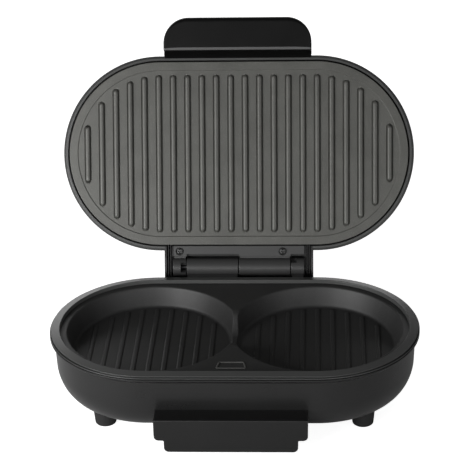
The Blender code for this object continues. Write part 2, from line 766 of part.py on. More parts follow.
def knuckles(mirror):
    """Returns the spans in X of a bracket's long and short barrel; the lid's are mirrored."""
    gap = KNUCKLE_GAP / 2
    spans = ((-KNUCKLE_LONG + gap, -gap), (KNUCKLE_LONG + gap, BRACKET_HALF_WIDTH))
    return [sorted((mirror * start, mirror * end)) for start, end in spans]


def barrel(low, high, radius):
    """Returns a cylinder on the hinge axis."""
    profile = [(radius, low), (radius, high)]
    return turned_along("X", profile, (HINGE_BACK, HINGE_LIFT), CIRCLE_STEPS // 2)


def notch_box(mirror, up, forward):
    """Returns the window in the short knuckle, beside the long one.

    Args:
        mirror: 1 for the base's bracket, -1 for the lid's.
        up: Unit (y, z) direction of the window's height.
        forward: Unit (y, z) direction in which the window faces.

    Returns:
        The closed cutter.
    """
    start = mirror * KNUCKLE_LONG
    end = mirror * (KNUCKLE_LONG + KNUCKLE_NOTCH_WIDTH)
    low, high = sorted((start, end))
    near, far = BORE_RADIUS / 2, BARREL_RADIUS + CUT_OVERRUN
    half = KNUCKLE_NOTCH_HEIGHT / 2
    outline = []
    for out, rise in ((near, -half), (far, -half), (far, half), (near, half)):
        outline.append((
            HINGE_BACK + forward[0] * out + up[0] * rise,
            HINGE_LIFT + forward[1] * out + up[1] * rise,
        ))
    return prism(outline, "X", low, high)


def finish_bracket(bracket, mirror, arm_outline, up, forward):
    """Adds arms and barrels to a bracket's bar, then bores it and opens the window."""
    for index, (low, high) in enumerate(knuckles(mirror)):
        arm = prism(arm_outline, "X", low + ARM_SIDE_INSET, high - ARM_SIDE_INSET)
        shape_with(bracket, arm, "UNION", f"arm_{index}")
        shape_with(bracket, barrel(low, high, BARREL_RADIUS), "UNION", f"barrel_{index}")
    reach = BRACKET_HALF_WIDTH + CUT_OVERRUN
    shape_with(bracket, barrel(-reach, reach, BORE_RADIUS), "DIFFERENCE", "bore")
    shape_with(bracket, notch_box(mirror, up, forward), "DIFFERENCE", "window")
    return bracket


def screw_seats(places, face_z, into):
    """Returns the counterbores and shank holes of a bracket's two screws.

    Args:
        places: The x and y of each screw.
        face_z: Height of the face that the heads are sunk in.
        into: 1 where the screws go up, -1 where they go down.

    Returns:
        The cutters as one bmesh.
    """
    head_radius = SCREW_HEAD_RADIUS + SEAT_GAP
    shank_radius = SCREW_SHANK_RADIUS + SEAT_GAP
    seat = face_z + into * (SCREW_HEAD_HEIGHT + SCREW_HEAD_SINK + SEAT_GAP)
    profile = [
        (head_radius, face_z - into * CUT_OVERRUN),
        (head_radius, seat),
        (shank_radius, seat),
        (shank_radius, face_z + into * (SCREW_LENGTH + CUT_OVERRUN)),
    ]
    return merged([turned(profile, place, SMALL_CIRCLE_STEPS) for place in places])


def make_screw(name, place, face_z, into, frame):
    """Makes a screw whose head is sunk a little below a bracket's face."""
    head_z = face_z + into * SCREW_HEAD_SINK
    under_z = head_z + into * SCREW_HEAD_HEIGHT
    profile = [
        (SCREW_HEAD_RADIUS, head_z),
        (SCREW_HEAD_RADIUS, under_z),
        (SCREW_SHANK_RADIUS, under_z),
        (SCREW_SHANK_RADIUS, face_z + into * SCREW_LENGTH),
    ]
    return make_object(name, turned(profile, place, SMALL_CIRCLE_STEPS), DARK_STEEL, frame)


def make_base_bracket(base):
    """Makes the base's hinge moulding: a bar on the shelf with arms up to its barrels."""
    bar = box(
        (-BRACKET_HALF_WIDTH, HINGE_BACK - BASE_BAR_FRONT, SHELF_Z + SEAT_GAP),
        (BRACKET_HALF_WIDTH, HINGE_BACK - BASE_BAR_BACK, BASE_BAR_TOP_Z),
    )
    bracket = make_object("base_hinge_bracket", bar, HINGE_GREY, base)
    root_z = BASE_BAR_TOP_Z - ARM_ROOT
    inside_y = BASE_ARM_TOP_DROP
    inside_z = math.sqrt((BARREL_RADIUS - ARM_SIDE_INSET) ** 2 - inside_y**2)
    arm_outline = [
        (HINGE_BACK - ARM_REACH, root_z),
        (HINGE_BACK - BASE_BAR_BACK, root_z),
        (HINGE_BACK - inside_y, HINGE_LIFT - inside_z),
        (HINGE_BACK - inside_y, HINGE_LIFT - BASE_ARM_TOP_DROP),
        (HINGE_BACK - ARM_REACH, HINGE_LIFT - BASE_ARM_TOP_DROP),
    ]
    slant = math.sqrt(1 / 2)
    finish_bracket(bracket, 1, arm_outline, (slant, slant), (-slant, slant))
    seats = screw_seats(base_screw_places(), BASE_BAR_TOP_Z, -1)
    return shape_with(bracket, seats, "DIFFERENCE", "screw_seats")


def make_lid_bracket(lid):
    """Makes the lid's hinge moulding: a plate in the lid's rim with arms to its barrels."""
    top_z = LID_GAP + LID_BRACKET_THICKNESS
    plate = box(
        (-BRACKET_HALF_WIDTH, HINGE_BACK - LID_BRACKET_FRONT, LID_GAP),
        (BRACKET_HALF_WIDTH, HINGE_BACK - LID_BRACKET_BACK, top_z),
    )
    bracket = make_object("lid_hinge_bracket", plate, HINGE_GREY, lid)
    arm_inset = LID_BRACKET_THICKNESS / 8
    arm_outline = [
        (HINGE_BACK - ARM_REACH, LID_GAP + arm_inset),
        (HINGE_BACK - PIN_RADIUS - BARREL_RADIUS / 4, LID_GAP + arm_inset),
        (HINGE_BACK - PIN_RADIUS - BARREL_RADIUS / 4, top_z - arm_inset),
        (HINGE_BACK - ARM_REACH, top_z - arm_inset),
    ]
    up = (-math.sin(LID_OPEN), math.cos(LID_OPEN))
    forward = (-math.cos(LID_OPEN), -math.sin(LID_OPEN))
    finish_bracket(bracket, -1, arm_outline, up, forward)
    seats = screw_seats(lid_screw_places(), LID_GAP, 1)
    return shape_with(bracket, seats, "DIFFERENCE", "screw_seats")


def make_hinge_pin(base):
    """Makes the rod through all four barrels."""
    rod = barrel(-BRACKET_HALF_WIDTH, BRACKET_HALF_WIDTH, PIN_RADIUS)
    return make_object("hinge_pin", rod, STEEL, base)


def make_foot(name, x, y, base):
    """Makes one rubber foot, cut at the top by the housing it sits in."""
    sole_z = -RIM_HEIGHT
    profile = [
        (FOOT_BOTTOM_RADIUS - FOOT_EDGE_ROUND, sole_z),
        (FOOT_BOTTOM_RADIUS - FOOT_EDGE_ROUND / 4, sole_z + FOOT_EDGE_ROUND / 3),
        (FOOT_BOTTOM_RADIUS, sole_z + FOOT_EDGE_ROUND),
        (FOOT_TOP_RADIUS, -LOWER_BOTTOM),
        (FOOT_TOP_RADIUS, -LOWER_BOTTOM + FOOT_SOCKET_DEPTH),
    ]
    foot = make_object(name, turned(profile, (x, y), SMALL_CIRCLE_STEPS), RUBBER, base)
    if y < 0:
        return shape_with(foot, stadium_solid(lower_outer_section(SEAT_GAP)), "DIFFERENCE", "seat")
    low = (x - FOOT_TOP_RADIUS * 2, y - FOOT_TOP_RADIUS * 2, -LOWER_BOTTOM - SEAT_GAP)
    high = (x + FOOT_TOP_RADIUS * 2, y + FOOT_TOP_RADIUS * 2, -LOWER_BOTTOM + FOOT_SOCKET_DEPTH * 2)
    return shape_with(foot, box(low, high), "DIFFERENCE", "seat")


def make_feet(base):
    """Makes the four feet: two under the bowl's front, two under the hinge shelf."""
    front = -OUTLINE_RADIUS + FRONT_FOOT_FROM_EDGE
    for side, word in ((-1, "left"), (1, "right")):
        make_foot(f"front_{word}_foot", side * (HALF_STRAIGHT + FRONT_FOOT_PAST_PAN), front, base)
        rear_side = side * (SHELF_HALF_WIDTH - REAR_FOOT_FROM_SIDE)
        make_foot(f"rear_{word}_foot", rear_side, REAR_FOOT_BACK, base)


def element_route(z):
    """Returns the heating tube's route: a stadium loop with two legs at the back."""
    leg = ELEMENT_LEG_SPACING / 2
    bend = ELEMENT_RADIUS * 2
    loop = PAN_FLOOR_RADIUS - ELEMENT_FROM_WALL
    end = loop + ELEMENT_LEG_LENGTH
    start_corner = [(-leg, end, 0), (-leg, loop, bend), (-HALF_STRAIGHT, loop, 0)]
    end_corner = [(HALF_STRAIGHT, loop, 0), (leg, loop, bend), (leg, end, 0)]
    steps = HALF_ROUND_STEPS // 2
    left = arc_points((-HALF_STRAIGHT, 0), loop, math.pi / 2, math.pi * 3 / 2, steps)
    right = arc_points((HALF_STRAIGHT, 0), loop, -math.pi / 2, math.pi / 2, steps)
    first = rounded(start_corner, CORNER_STEPS // 2, closed=False)[:-1]
    last = rounded(end_corner, CORNER_STEPS // 2, closed=False)[1:]
    return [Vector((x, y, z)) for x, y in [*first, *left, *right, *last]]


def make_element(name, z, frame):
    """Makes a sheathed heating tube as a bevelled curve."""
    curve = bpy.data.curves.new(name, "CURVE")
    curve.dimensions = "3D"
    curve.bevel_depth = ELEMENT_RADIUS
    curve.bevel_resolution = 2
    curve.use_fill_caps = True
    points = element_route(z)
    spline = curve.splines.new("POLY")
    spline.points.add(len(points) - 1)
    for spline_point, place in zip(spline.points, points):
        spline_point.co = (*place, 1)
    curve.materials.append(material_for(ELEMENT_STEEL))
    obj = bpy.data.objects.new(name, curve)
    bpy.context.collection.objects.link(obj)
    obj.parent = frame.empty
    obj.location = frame.offset
    return obj


def make_reflector(name, rim, floor, frame):
    """Makes a sheet tray from the place of its rim and of its floor, both (radius, z)."""
    sheet = REFLECTOR_SHEET if floor[1] > rim[1] else -REFLECTOR_SHEET
    section = [
        floor,
        (rim[0] - REFLECTOR_SHEET, rim[1] + sheet * 2),
        (rim[0] - REFLECTOR_SHEET, rim[1]),
        (rim[0], rim[1]),
        (rim[0], rim[1] + sheet * 2),
        (floor[0] + REFLECTOR_SHEET, floor[1] + sheet),
    ]
    return make_object(name, stadium_solid(section), SHEET_STEEL, frame)


def make_lower_heating(base):
    """Makes the element, reflector and thermostat below the lower plate."""
    make_element("lower_heating_element", PAN_UNDER_Z - SEAT_GAP - ELEMENT_RADIUS, base)
    rim = (INNER_RADIUS - LOWER_LEDGE_WIDTH - REFLECTOR_SIDE_GAP, PLATE_UNDER_Z - SEAT_GAP)
    floor = (PAN_FLOOR_RADIUS + LOWER_REFLECTOR_FLOOR_MARGIN, LOWER_REFLECTOR_Z)
    make_reflector("lower_reflector", rim, floor, base)
    can = [(THERMOSTAT_RADIUS, LOWER_CAN_TOP_Z - THERMOSTAT_HEIGHT), (THERMOSTAT_RADIUS, LOWER_CAN_TOP_Z)]
    make_object("lower_thermostat", turned(can, steps=SMALL_CIRCLE_STEPS), STEEL, base)


def make_wiring(base):
    """Makes the terminal block on the shelf's floor and the cord's bush in its back wall."""
    floor_z = -LOWER_BOTTOM + WALL + SEAT_GAP
    block = box(
        (-TERMINAL_WIDTH / 2, REAR_FOOT_BACK - TERMINAL_DEPTH / 2, floor_z),
        (TERMINAL_WIDTH / 2, REAR_FOOT_BACK + TERMINAL_DEPTH / 2, floor_z + TERMINAL_HEIGHT),
    )
    make_object("terminal_block", block, CERAMIC, base)
    flange_start = SHELF_BACK + SEAT_GAP
    profile = [
        (GLAND_BODY_RADIUS, flange_start + GLAND_FLANGE_LENGTH - GLAND_BODY_LENGTH),
        (GLAND_BODY_RADIUS, flange_start),
        (GLAND_FLANGE_RADIUS, flange_start),
        (GLAND_FLANGE_RADIUS, flange_start + GLAND_FLANGE_LENGTH),
    ]
    centre = (GLAND_SIDE, -GLAND_DEPTH)
    gland = make_object("cord_gland", turned_along("Y", profile, centre), RUBBER, base)
    low = profile[0][1] - CUT_OVERRUN
    high = profile[-1][1] + CUT_OVERRUN
    bore = [(GLAND_BORE_RADIUS, low), (GLAND_BORE_RADIUS, high)]
    shape_with(gland, turned_along("Y", bore, centre), "DIFFERENCE", "bore")


def make_upper_housing(lid):
    """Makes the dome with its rim, the hood over the hinge and the lens holes."""
    flange_top = LID_GAP + UPPER_FLANGE
    outer = [
        (OUTLINE_RADIUS, LID_GAP),
        (OUTLINE_RADIUS, flange_top),
        (WALL_RADIUS, flange_top + UPPER_UNDERCUT),
        *corner_sweep(WALL_RADIUS - WALL_DRAFT, UPPER_CORNER, UPPER_SHOULDER, UPPER_TOP),
    ]
    rim_radius = OUTLINE_RADIUS - UPPER_RIM_WIDTH
    inner = [
        (rim_radius, LID_GAP - CUT_OVERRUN),
        (rim_radius, LID_GAP + UPPER_RIM_DEPTH),
        (INNER_RADIUS - WALL_DRAFT, LID_GAP + UPPER_RIM_DEPTH + WALL_DRAFT),
        *corner_sweep(INNER_RADIUS - WALL_DRAFT, UPPER_CORNER, UPPER_SHOULDER, UPPER_TOP - WALL),
    ]
    housing = make_object("upper_housing", stadium_solid(outer), HOUSING_BLACK, lid)
    hood_top = HINGE_LIFT + HOOD_REACH
    hood = rounded([
        (HINGE_BACK - HOOD_ROOT, LID_GAP, 0),
        (HINGE_BACK - BARREL_RADIUS, LID_GAP, 0),
        (HINGE_BACK + HOOD_REACH, HINGE_LIFT + HOOD_EDGE_LIFT, 0),
        (HINGE_BACK + HOOD_REACH, hood_top, HOOD_ROUND),
        (HINGE_BACK - HOOD_ROOT, hood_top, 0),
    ])
    shape_with(housing, prism(hood, "X", -HOOD_HALF_WIDTH, HOOD_HALF_WIDTH), "UNION", "hood")
    shape_with(housing, stadium_solid(inner), "DIFFERENCE", "hollow")
    inner_back = HINGE_BACK + HOOD_REACH - HOOD_WALL
    hollow = rounded([
        (HINGE_BACK - HOOD_HOLLOW_FRONT, LID_GAP - CUT_OVERRUN, 0),
        (inner_back, LID_GAP - CUT_OVERRUN, 0),
        (inner_back, hood_top - HOOD_WALL, HOOD_ROUND - HOOD_WALL),
        (HINGE_BACK - HOOD_HOLLOW_FRONT, hood_top - HOOD_WALL, 0),
    ])
    inner_half = HOOD_HALF_WIDTH - HOOD_WALL
    shape_with(housing, prism(hollow, "X", -inner_half, inner_half), "DIFFERENCE", "hood_hollow")
    pocket_half = BRACKET_HALF_WIDTH + SEAT_GAP
    pocket_top = LID_GAP + LID_BRACKET_THICKNESS + SEAT_GAP
    pocket = box(
        (-pocket_half, HINGE_BACK - LID_BRACKET_FRONT - SEAT_GAP, LID_GAP - CUT_OVERRUN),
        (pocket_half, HINGE_BACK - HOOD_HOLLOW_FRONT + CUT_OVERRUN, pocket_top),
    )
    shape_with(housing, pocket, "DIFFERENCE", "bracket_pocket")
    hole_top = LID_GAP + SCREW_LENGTH + SEAT_GAP
    holes = [screw_hole(place, LID_GAP, hole_top) for place in lid_screw_places()]
    shape_with(housing, merged(holes), "DIFFERENCE", "screw_holes")
    lens_radius = LENS_RADIUS + SEAT_GAP
    drill = [(lens_radius, UPPER_TOP - WALL - CUT_OVERRUN), (lens_radius, UPPER_TOP + CUT_OVERRUN)]
    drills = [turned(drill, place, SMALL_CIRCLE_STEPS) for place in lens_places()]
    shape_with(housing, merged(drills), "DIFFERENCE", "lens_holes")
    return housing


def lens_places():
    """Returns the x and y of the power and the ready lens."""
    y = -(WALL_RADIUS - WALL_DRAFT - UPPER_CORNER - LENS_INSET)
    return ((-LENS_SPACING / 2, y), (LENS_SPACING / 2, y))


def make_lenses(lid):
    """Makes the two indicator lenses, collared below the dome's top."""
    under = UPPER_TOP - WALL - SEAT_GAP
    profile = [
        (LENS_RADIUS + LENS_COLLAR, under - LENS_LENGTH / 4),
        (LENS_RADIUS + LENS_COLLAR, under),
        (LENS_RADIUS, under),
        (LENS_RADIUS, UPPER_TOP),
        (LENS_RADIUS * 3 / 4, UPPER_TOP + LENS_CROWN * 2 / 3),
        (LENS_RADIUS / 3, UPPER_TOP + LENS_CROWN),
    ]
    names = ("power_lens", "ready_lens")
    for name, finish, place in zip(names, (RED_LENS, GREEN_LENS), lens_places()):
        make_object(name, turned(profile, place, SMALL_CIRCLE_STEPS), finish, lid)


def make_upper_plate(lid):
    """Makes the ribbed plate: flat border, a field set back a little and the hanging ribs."""
    outer_radius = OUTLINE_RADIUS - LID_PLATE_INSET
    field_radius = OUTLINE_RADIUS - LID_FIELD_INSET
    section = [
        (field_radius, LID_FIELD_Z),
        (field_radius + LID_FIELD_STEP, LID_FACE_Z),
        (outer_radius, LID_FACE_Z),
        (outer_radius, LID_PLATE_TOP_Z),
    ]
    plate = make_object("upper_plate", stadium_solid(section), COATED_GREY, lid)
    rib_radius = OUTLINE_RADIUS - LID_RIB_INSET
    ribs = []
    for x in rib_places(HALF_STRAIGHT + rib_radius - LID_RIB_WIDTH / 2):
        half_length = rib_half_length(x, rib_radius)
        ribs.append(rib(x, half_length, LID_RIB_WIDTH, LID_RIB_HEIGHT, LID_FIELD_Z, -1))
    return shape_with(plate, merged(ribs), "UNION", "ribs")


def make_upper_handle(lid):
    """Makes the front grip: its plan outline and its side profile cut each other."""
    back = -OUTLINE_RADIUS - SEAT_GAP
    front = -OUTLINE_RADIUS - UPPER_GRIP_REACH
    neck = -OUTLINE_RADIUS - UPPER_GRIP_NECK
    side = rounded([
        (back, UPPER_GRIP_NECK_LIFT, 0),
        (back, UPPER_GRIP_TOP, GRIP_EDGE_ROUND / 2),
        (front, UPPER_GRIP_TOP_FRONT, GRIP_EDGE_ROUND * 2),
        (front, -UPPER_GRIP_BOTTOM, GRIP_EDGE_ROUND * 2),
        (neck, -UPPER_GRIP_BOTTOM, GRIP_EDGE_ROUND),
        (neck, UPPER_GRIP_NECK_LIFT, GRIP_EDGE_ROUND / 2),
    ], CORNER_STEPS // 2)
    body = prism(side, "X", -UPPER_GRIP_HALF_WIDTH - CUT_OVERRUN, UPPER_GRIP_HALF_WIDTH + CUT_OVERRUN)
    handle = make_object("upper_handle", body, GRIP_BLACK, lid)
    plan = rounded([
        (-UPPER_GRIP_HALF_WIDTH, back + CUT_OVERRUN, 0),
        (-UPPER_GRIP_HALF_WIDTH, front - SEAT_GAP, UPPER_GRIP_CORNER),
        (UPPER_GRIP_HALF_WIDTH, front - SEAT_GAP, UPPER_GRIP_CORNER),
        (UPPER_GRIP_HALF_WIDTH, back + CUT_OVERRUN, 0),
    ], CORNER_STEPS * 2)
    low, high = -UPPER_GRIP_BOTTOM - CUT_OVERRUN, UPPER_GRIP_TOP + CUT_OVERRUN
    return shape_with(handle, prism(plan, "Z", low, high), "INTERSECT", "plan")


def make_upper_heating(lid):
    """Makes the element, reflector, thermostat and fuse above the upper plate."""
    seat_z = LID_PLATE_TOP_Z + SEAT_GAP
    make_element("upper_heating_element", seat_z + ELEMENT_RADIUS, lid)
    rim = (OUTLINE_RADIUS - UPPER_REFLECTOR_INSET, seat_z)
    top = (rim[0] - UPPER_REFLECTOR_FLARE, seat_z + THERMOSTAT_HEIGHT + UPPER_REFLECTOR_CLEARANCE)
    make_reflector("upper_reflector", rim, top, lid)
    can = [(THERMOSTAT_RADIUS, seat_z), (THERMOSTAT_RADIUS, seat_z + THERMOSTAT_HEIGHT)]
    make_object("upper_thermostat", turned(can, steps=SMALL_CIRCLE_STEPS), STEEL, lid)
    start = THERMOSTAT_RADIUS + FUSE_SIDE
    profile = [(FUSE_RADIUS, start), (FUSE_RADIUS, start + FUSE_LENGTH)]
    fuse = turned_along("X", profile, (0, seat_z + FUSE_RADIUS))
    make_object("thermal_fuse", fuse, CERAMIC, lid)


def make_empty(name, parent=None):
    """Makes an empty that groups pieces."""
    empty = bpy.data.objects.new(name, None)
    bpy.context.collection.objects.link(empty)
    empty.parent = parent
    return empty


def centre_footprint(root):
    """Moves the model in Y until the middle of its box, at rest, is over the origin."""
    bpy.context.view_layer.update()
    graph = bpy.context.evaluated_depsgraph_get()
    places = []
    for obj in bpy.data.objects:
        if obj.type not in {"MESH", "CURVE"} or obj.hide_render:
            continue
        evaluated = obj.evaluated_get(graph)
        mesh = evaluated.to_mesh()
        places += [(evaluated.matrix_world @ vertex.co).y for vertex in mesh.vertices]
        evaluated.to_mesh_clear()
    root.location.y = -(min(places) + max(places)) / 2
    bpy.context.view_layer.update()


def build():
    """Builds the whole omelette maker with its lid open."""
    clear_scene()
    root = make_empty("omelette_maker")
    base_empty = make_empty("base", root)
    base_empty.location.z = RIM_HEIGHT
    hinge_empty = make_empty("lid_hinge", base_empty)
    hinge_empty.location = (0, HINGE_BACK, HINGE_LIFT)
    hinge_empty.rotation_euler.x = -LID_OPEN
    base = Frame(base_empty, Vector((0, 0, 0)))
    lid = Frame(hinge_empty, Vector((0, -HINGE_BACK, -HINGE_LIFT)))

    make_lower_housing(base)
    make_lower_rim(base)
    make_lower_plate(base)
    make_lower_handle(base)
    make_base_bracket(base)
    make_hinge_pin(base)
    for word, place in zip(("left", "right"), base_screw_places()):
        make_screw(f"base_screw_{word}", place, BASE_BAR_TOP_Z, -1, base)
    make_lower_heating(base)
    make_wiring(base)
    make_feet(base)

    make_upper_housing(lid)
    make_upper_plate(lid)
    make_upper_handle(lid)
    make_lid_bracket(lid)
    for word, place in zip(("left", "right"), lid_screw_places()):
        make_screw(f"lid_screw_{word}", place, LID_GAP, 1, lid)
    make_upper_heating(lid)
    make_lenses(lid)

    centre_footprint(root)
    hinge = hinge_empty.matrix_world.translation
    print("Hinge axis passes through", tuple(round(value, 6) for value in hinge))


build()
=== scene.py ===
"""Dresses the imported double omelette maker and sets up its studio, floor and camera.

Every shape is worked out in the working frame of the part: the lid closed and the middle of the
rim's top face at zero. Each piece is then put in its real place, with the lid's turned open.
"""

import json
import logging
import math
from dataclasses import dataclass, field
from enum import Enum
from typing import Any, Callable

import bmesh
import bpy
import numpy as np
from mathutils import Matrix, Vector


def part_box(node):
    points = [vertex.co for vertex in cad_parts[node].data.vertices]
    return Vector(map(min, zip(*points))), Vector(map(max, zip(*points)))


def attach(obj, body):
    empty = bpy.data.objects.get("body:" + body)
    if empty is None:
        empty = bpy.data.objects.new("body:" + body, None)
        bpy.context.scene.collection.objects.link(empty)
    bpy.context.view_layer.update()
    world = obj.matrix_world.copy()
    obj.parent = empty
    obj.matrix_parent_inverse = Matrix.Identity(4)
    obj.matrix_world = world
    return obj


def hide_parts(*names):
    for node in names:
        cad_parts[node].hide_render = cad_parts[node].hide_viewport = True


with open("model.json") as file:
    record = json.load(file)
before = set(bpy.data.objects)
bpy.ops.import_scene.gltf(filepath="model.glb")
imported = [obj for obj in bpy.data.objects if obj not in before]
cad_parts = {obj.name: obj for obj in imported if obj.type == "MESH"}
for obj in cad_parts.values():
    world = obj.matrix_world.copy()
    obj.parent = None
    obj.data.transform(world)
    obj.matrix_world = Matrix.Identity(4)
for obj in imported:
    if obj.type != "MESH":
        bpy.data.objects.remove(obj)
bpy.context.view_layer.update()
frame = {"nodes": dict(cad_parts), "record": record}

logging.basicConfig(level=logging.INFO, format="%(message)s")
log = logging.getLogger("omelette_maker")

SEAM = 0.0003
OVERRUN = 0.002
WELD = 1e-6
TINY = 1e-9  # Keeps a divisor off zero.
END_EDGE = 0.9  # A block's end edges are rounded by this share of its corner radius.
SHARP_ANGLE = math.radians(34)
IMAGE_SIDE = 470
WHITE = (1, 1, 1, 1)


class Body(Enum):
    """The two bodies that the hinge joins."""

    BASE = "base"
    LID = "lid"


class Cut(Enum):
    """What a helper solid does to a piece."""

    JOIN = "UNION"
    REMOVE = "DIFFERENCE"


class Axis(Enum):
    """The direction that a flat outline is carried along."""

    X = 0
    Y = 1
    Z = 2


def linked(name: str, data: Any) -> bpy.types.Object:
    """Makes an object of some data and puts it in the scene.

    Args:
        name: The object's name.
        data: Its mesh, lamp or camera.

    Returns:
        The object.
    """
    obj = bpy.data.objects.new(name, data)
    bpy.context.scene.collection.objects.link(obj)
    return obj


def merged(mesh: bpy.types.Mesh, outward: bool = False) -> bpy.types.Mesh:
    """Merges a mesh's doubles in place.

    Args:
        mesh: The mesh.
        outward: True to turn its faces outwards too.

    Returns:
        The same mesh.
    """
    bm = bmesh.new()
    bm.from_mesh(mesh)
    bmesh.ops.remove_doubles(bm, verts=bm.verts, dist=WELD)
    if outward:
        bmesh.ops.recalc_face_normals(bm, faces=bm.faces)
    bm.to_mesh(mesh)
    bm.free()
    return mesh


@dataclass
class Shape:
    """A surface as arrays: its points and, for each face size, the faces' point numbers."""

    points: np.ndarray
    faces: list[np.ndarray]

    def __add__(self, other: "Shape") -> "Shape":
        """Puts two shapes side by side in one."""
        shift = len(self.points)
        moved = [group + shift for group in other.faces]
        return Shape(np.vstack([self.points, other.points]), self.faces + moved)

    def mirrored(self) -> "Shape":
        """Mirrors the shape left to right."""
        return Shape(self.points * (-1, 1, 1), [group[:, ::-1] for group in self.faces])

    def mesh(self, name: str) -> bpy.types.Mesh:
        """Makes a mesh whose doubles are merged and whose faces point outwards.

        Args:
            name: Name of the mesh.

        Returns:
            The mesh.
        """
        mesh = bpy.data.meshes.new(name)
        faces = [face for group in self.faces for face in group.tolist()]
        mesh.from_pydata(self.points.tolist(), [], faces)
        return merged(mesh, outward=True)


def grid_faces(rows: int, columns: int, wrap_rows: bool = False, wrap_columns: bool = True) -> np.ndarray:
    """Numbers the four-sided faces of a grid of points stored row by row.

    Args:
        rows: Rows of points.
        columns: Points in each row.
        wrap_rows: True where the last row joins the first.
        wrap_columns: True where each row is a closed ring.

    Returns:
        An array of faces by four point numbers.
    """
    row = np.arange(rows if wrap_rows else rows - 1)[:, None]
    column = np.arange(columns if wrap_columns else columns - 1)[None, :]
    next_row, next_column = (row + 1) % rows, (column + 1) % columns
    corners = [row * columns + column, row * columns + next_column]
    corners += [next_row * columns + next_column, next_row * columns + column]
    return np.stack(corners, axis=-1).reshape(-1, 4)


def ring_grid(rings: np.ndarray, wrap_rows: bool = False, caps: bool = True) -> Shape:
    """Joins closed rings into a tube, with flat caps unless it closes on itself.

    Args:
        rings: Array of rings by points by three.
        wrap_rows: True where the last ring joins the first.
        caps: True for a flat face in the first and last ring.

    Returns:
        The closed shape.
    """
    rows, columns = rings.shape[:2]
    faces = [grid_faces(rows, columns, wrap_rows)]
    if caps and not wrap_rows:
        ends = np.arange(columns)
        faces.append(np.stack([ends[::-1], ends + (rows - 1) * columns]))
    return Shape(rings.reshape(-1, 3), faces)


def sheet(flat: np.ndarray, heights: np.ndarray, closed: bool = True) -> Shape:
    """Joins rows of level points at their heights into an open sheet.

    Args:
        flat: Rows by points by two.
        heights: Rows by points.
        closed: True where each row is a ring.

    Returns:
        The sheet.
    """
    points = np.concatenate([flat, heights[..., None]], axis=-1)
    return Shape(points.reshape(-1, 3), [grid_faces(*heights.shape, wrap_columns=closed)])


def carried(foot: np.ndarray, normals: np.ndarray, section: np.ndarray, closed: bool = True) -> Shape:
    """Carries a (radius, height) section along an edge, each point at foot + radius * normal.

    Args:
        foot: The edge's nearest points on its middle line.
        normals: Its outward normals.
        section: Points by two.
        closed: True where the edge is a ring.

    Returns:
        The sheet.
    """
    flat = foot + section[:, :1, None] * normals
    return sheet(flat, np.broadcast_to(section[:, 1:], flat.shape[:2]), closed)


def arc(centre: tuple, radius: float, start: float, end: float, steps: int) -> np.ndarray:
    """Works out a flat arc: centre + radius * (cos a, sin a) for even angles a."""
    angles = np.linspace(start, end, steps + 1)
    return np.array(centre) + radius * np.stack([np.cos(angles), np.sin(angles)], axis=1)


def rounded(corners: list[tuple], steps: int = 6, closed: bool = True) -> np.ndarray:
    """Rounds the corners of a flat outline.

    Each corner's arc touches both its sides: its centre lies on the bisector at
    radius / sin(half angle), and the arc turns from one side's normal to the other's.

    Args:
        corners: Corners as (u, v, radius), a zero radius staying sharp.
        steps: Facets of each arc.
        closed: False for a line whose ends stay as they are.

    Returns:
        The outline as points by two.
    """
    pieces = []
    count = len(corners)
    for index, (u, v, radius) in enumerate(corners):
        if radius == 0 or (not closed and index in (0, count - 1)):
            pieces.append(np.array([[u, v]]))
            continue
        here = Vector((u, v))
        before = (Vector(corners[index - 1][:2]) - here).normalized()
        after = (Vector(corners[(index + 1) % count][:2]) - here).normalized()
        half = before.angle(after) / 2
        centre = here + (before + after).normalized() * (radius / math.sin(half))
        first = here + before * (radius / math.tan(half)) - centre
        last = here + after * (radius / math.tan(half)) - centre
        start = math.atan2(first.y, first.x)
        pieces.append(arc(tuple(centre), radius, start, start - first.angle_signed(last), steps))
    return np.vstack(pieces)


def shrunk(outline: np.ndarray, depth: float) -> np.ndarray:
    """Draws a closed outline in by a depth.

    Each point moves against the sum of its two sides' outward normals n and m, by
    depth * (n + m) / (1 + n . m), so that both sides move by the depth.

    Args:
        outline: Points by two.
        depth: How far the sides move in.

    Returns:
        The smaller outline.
    """
    sides = np.roll(outline, -1, axis=0) - outline
    area = np.sum(outline[:, 0] * np.roll(outline[:, 1], -1) - np.roll(outline[:, 0], -1) * outline[:, 1])
    normals = np.stack([sides[:, 1], -sides[:, 0]], axis=1) * np.sign(area)
    normals /= np.linalg.norm(normals, axis=1, keepdims=True)
    earlier = np.roll(normals, 1, axis=0)
    return outline - depth * (normals + earlier) / (1 + np.sum(normals * earlier, axis=1, keepdims=True))


def placed(outline: np.ndarray, axis: Axis, along: float) -> np.ndarray:
    """Puts a flat outline across an axis, its first value on the earlier of the other two."""
    return np.insert(outline, axis.value, along, axis=1)


def slab(
    outline: np.ndarray,
    axis: Axis,
    low: float,
    high: float,
    edge: float = 0.0,
    steps: int = 5,
) -> Shape:
    """Carries a flat outline along an axis and rounds both end edges.

    At an angle a into the rounding the outline is drawn in by edge * (1 - cos a) and lies
    edge * (1 - sin a) inside the end.

    Args:
        outline: Points by two, the other two coordinates in order.
        axis: The direction.
        low: Where the slab starts.
        high: Where it ends.
        edge: Radius of the end edges.
        steps: Facets of each edge.

    Returns:
        The closed slab.
    """
    if edge == 0:
        return ring_grid(np.stack([placed(outline, axis, low), placed(outline, axis, high)]))
    start, end = [], []
    for turn in np.linspace(math.pi / 2, 0, steps + 1):
        drawn = shrunk(outline, edge * (1 - math.cos(turn)))
        inside = edge * (1 - math.sin(turn))
        start.append(placed(drawn, axis, low + inside))
        end.append(placed(drawn, axis, high - inside))
    return ring_grid(np.stack(start + end[::-1]))


